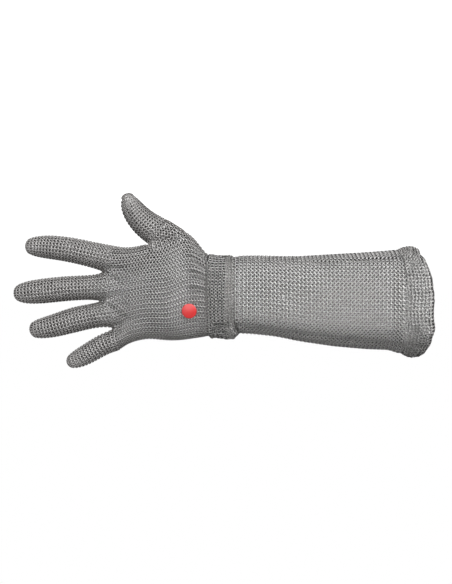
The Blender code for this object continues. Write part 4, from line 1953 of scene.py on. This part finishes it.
@dataclass
class Studio:
    """Pale floor, soft light from the walls of a grey room, and the camera."""

    camera_at: tuple[float, float, float] = (4.9, -1100.0, 2.9)
    view_height: float = 572.3
    sensor: float = 36.0
    near_limit: float = 50.0
    floor_level: float = -1150.0
    floor_radius: float = 900.0
    floor_sides: int = 96
    room: float = 0.15
    backdrop: Glow = Glow((0.0, 1.0, 0.0), 1.0, (0.89, 0.95))
    softboxes: tuple[Glow, ...] = (
        Glow((0.52, -0.60, 0.61), 4.1, (0.72, 0.95)),
        Glow((-0.20, -0.97, 0.12), 2.3, (0.86, 0.995)),
        Glow((-0.85, -0.50, 0.10), 0.75, (0.60, 0.95)),
        Glow((0.0, 0.80, 0.60), 1.2, (0.78, 0.96)),
    )

    def _camera(self) -> None:
        """Set a level camera in front of the back of the hand."""
        data = bpy.data.cameras.new("camera")
        data.sensor_width = self.sensor
        data.lens = self.sensor * -self.camera_at[1] / self.view_height
        data.clip_start = self.near_limit * MM
        camera = placed(data)
        camera.location = Vector(self.camera_at) * MM
        camera.rotation_euler = (math.pi / 2, 0.0, 0.0)
        bpy.context.scene.camera = camera

    def _floor(self) -> None:
        """Lay a round pale floor well below the glove."""
        bm = bmesh.new()
        bmesh.ops.create_circle(bm, cap_ends=True, segments=self.floor_sides, radius=self.floor_radius * MM)
        bmesh.ops.translate(bm, verts=bm.verts, vec=(0, 0, self.floor_level * MM))
        floor = placed(smooth_mesh(bm, "floor"))
        floor.data.materials.append(FloorFinish().material())

    def _room(self) -> bpy.types.World:
        """Light a grey room, white on its far wall and with soft lights on its near side.

        Returns:
            The world.
        """
        world = bpy.data.worlds.new("studio")
        world.use_nodes = True
        nodes = Nodes(world.node_tree)
        way = nodes.node("ShaderNodeTexCoord").outputs["Generated"]
        light = self._share(nodes, way, self.backdrop) * (self.backdrop.level - self.room) + self.room
        for box in self.softboxes:
            light = light + self._share(nodes, way, box) * box.level
        nodes.plug(nodes.tree.nodes["Background"], "Color", light)
        return world

    def _share(self, nodes: Nodes, way: Socket, glow: Glow) -> Value:
        """Find how much of one glow is seen in each direction.

        Args:
            nodes: The world's nodes.
            way: The direction's socket.
            glow: The glow.

        Returns:
            The share, from 0 to 1.
        """
        near = nodes.node("ShaderNodeVectorMath", {"operation": "DOT_PRODUCT"})
        nodes.tree.links.new(way, near.inputs[0])
        near.inputs[1].default_value = Vector(glow.toward).normalized()
        return nodes.ramp(nodes.value(near, "Value"), *glow.fade)

    def build(self) -> None:
        """Set up the studio."""
        bpy.context.scene.world = self._room()
        bpy.context.scene.view_settings.view_transform = "Standard"
        self._camera()
        self._floor()


# ---------------------------------------------------------------- the bands' measures
WRIST_PROFILE = (
    (-13.6, 0.1, 0.0), (-12.4, 1.1, 0.1), (-8.6, 1.7, 0.3), (-3.0, 2.0, 0.7), (4.0, 2.1, 1.0),
    (7.4, 1.3, 0.9),
)
WRIST_LOBES = (
    Lobe(0.0, 40.0, -0.6, 3.0, 0.0), Lobe(164.0, 24.0, 4.6, 0.5, 3.0), Lobe(190.0, 22.0, -0.6, 4.5, -2.0),
)
SEAM_PROFILE = ((4.4, 1.7, 0.9), (6.4, 2.2, 1.0), (8.8, 1.8, 0.8), (10.4, 0.9, 0.4), (11.2, 0.0, 0.0))
SEAM_LOBES = (
    Lobe(0.0, 40.0, -0.6, 0.0, 0.0), Lobe(164.0, 24.0, 4.6, 3.0, 5.8), Lobe(190.0, 22.0, -0.6, 0.0, -2.0),
)
WRIST_FOLDS = (
    Fold((-11.0, -26.7), (-5.0, -29.5), -2.2, 1.2),
    Fold((-5.0, -29.5), (7.0, -26.8), -2.6, 1.2),
    Fold((-7.5, -33.6), (8.0, -30.3), -2.4, 1.2),
)
WRIST_RUMPLE = Rumple(((7.0, 38.0, 0.4, 0.22), (11.0, -23.0, 2.1, 0.2), (17.0, 31.0, 4.0, 0.15)))
HEM_PROFILE = (
    (176.2, 0.1, 0.0), (178.0, 0.9, 0.4), (182.0, 1.9, 0.8), (187.0, 2.7, 1.0), (192.0, 3.0, 1.0),
    (197.4, 2.0, 0.8), (199.2, 0.0, 0.4), (198.0, -1.8, 0.2), (193.0, -2.6, 0.0), (184.0, -2.8, 0.0),
)
HEM_LOBES = (
    Lobe(16.0, 42.0, -0.8, -2.0, -8.4), Lobe(100.0, 46.0, 0.4, 1.5, 2.2), Lobe(178.0, 32.0, -0.4, 1.5, -5.8),
)
HEM_FOLDS = (
    Fold((176.0, -46.0), (198.0, -52.0), -1.6, 1.8),
    Fold((180.0, 40.0), (196.0, 34.0), -0.8, 2.2),
)
HEM_RUMPLE = Rumple(
    ((6.0, 46.0, 1.1, 0.35), (10.0, -27.0, 0.2, 0.3), (15.0, 35.0, 3.3, 0.25), (23.0, -19.0, 5.0, 0.15))
)


def main() -> None:
    """Build the glove's pieces in order, then the studio."""
    logging.basicConfig(level=logging.INFO, format="%(name)s: %(message)s")
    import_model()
    maker = MailMaker(RingStock())
    fine = MailMaker(RingStock(outer_diameter=3.8, wire=0.58))
    tube = ArmTube(ARM_SECTIONS)
    MailHand(HAND_STEEL).build(maker)
    ForearmCuff(tube, CUFF_STEEL).build(maker)
    FoldedBand(
        "wrist_band_mail", "wrist_band", tube, WRIST_STEEL,
        WRIST_PROFILE, WRIST_LOBES, WRIST_FOLDS, WRIST_RUMPLE,
        pitch=3.1, spacing=1.85, looseness=0.12, lay=Lay.ROUND,
    ).build(fine)
    FoldedBand(
        "wrist_seam_mail", "wrist_band", tube, SEAM_STEEL,
        SEAM_PROFILE, SEAM_LOBES, WRIST_FOLDS, WRIST_RUMPLE,
        pitch=2.9, spacing=1.5, looseness=0.12,
    ).build(fine)
    FoldedBand(
        "hem_band_mail", "hem_band", tube, HEM_STEEL,
        HEM_PROFILE, HEM_LOBES, HEM_FOLDS, HEM_RUMPLE,
        pitch=3.2, spacing=1.72, looseness=0.16,
    ).build(maker)
    PressButton(CAP_RED, RIVET_STEEL).build()
    Studio().build()
    LOG.info("mail triangles: %d", maker.total + fine.total)


if __name__ == "__main__":
    main()
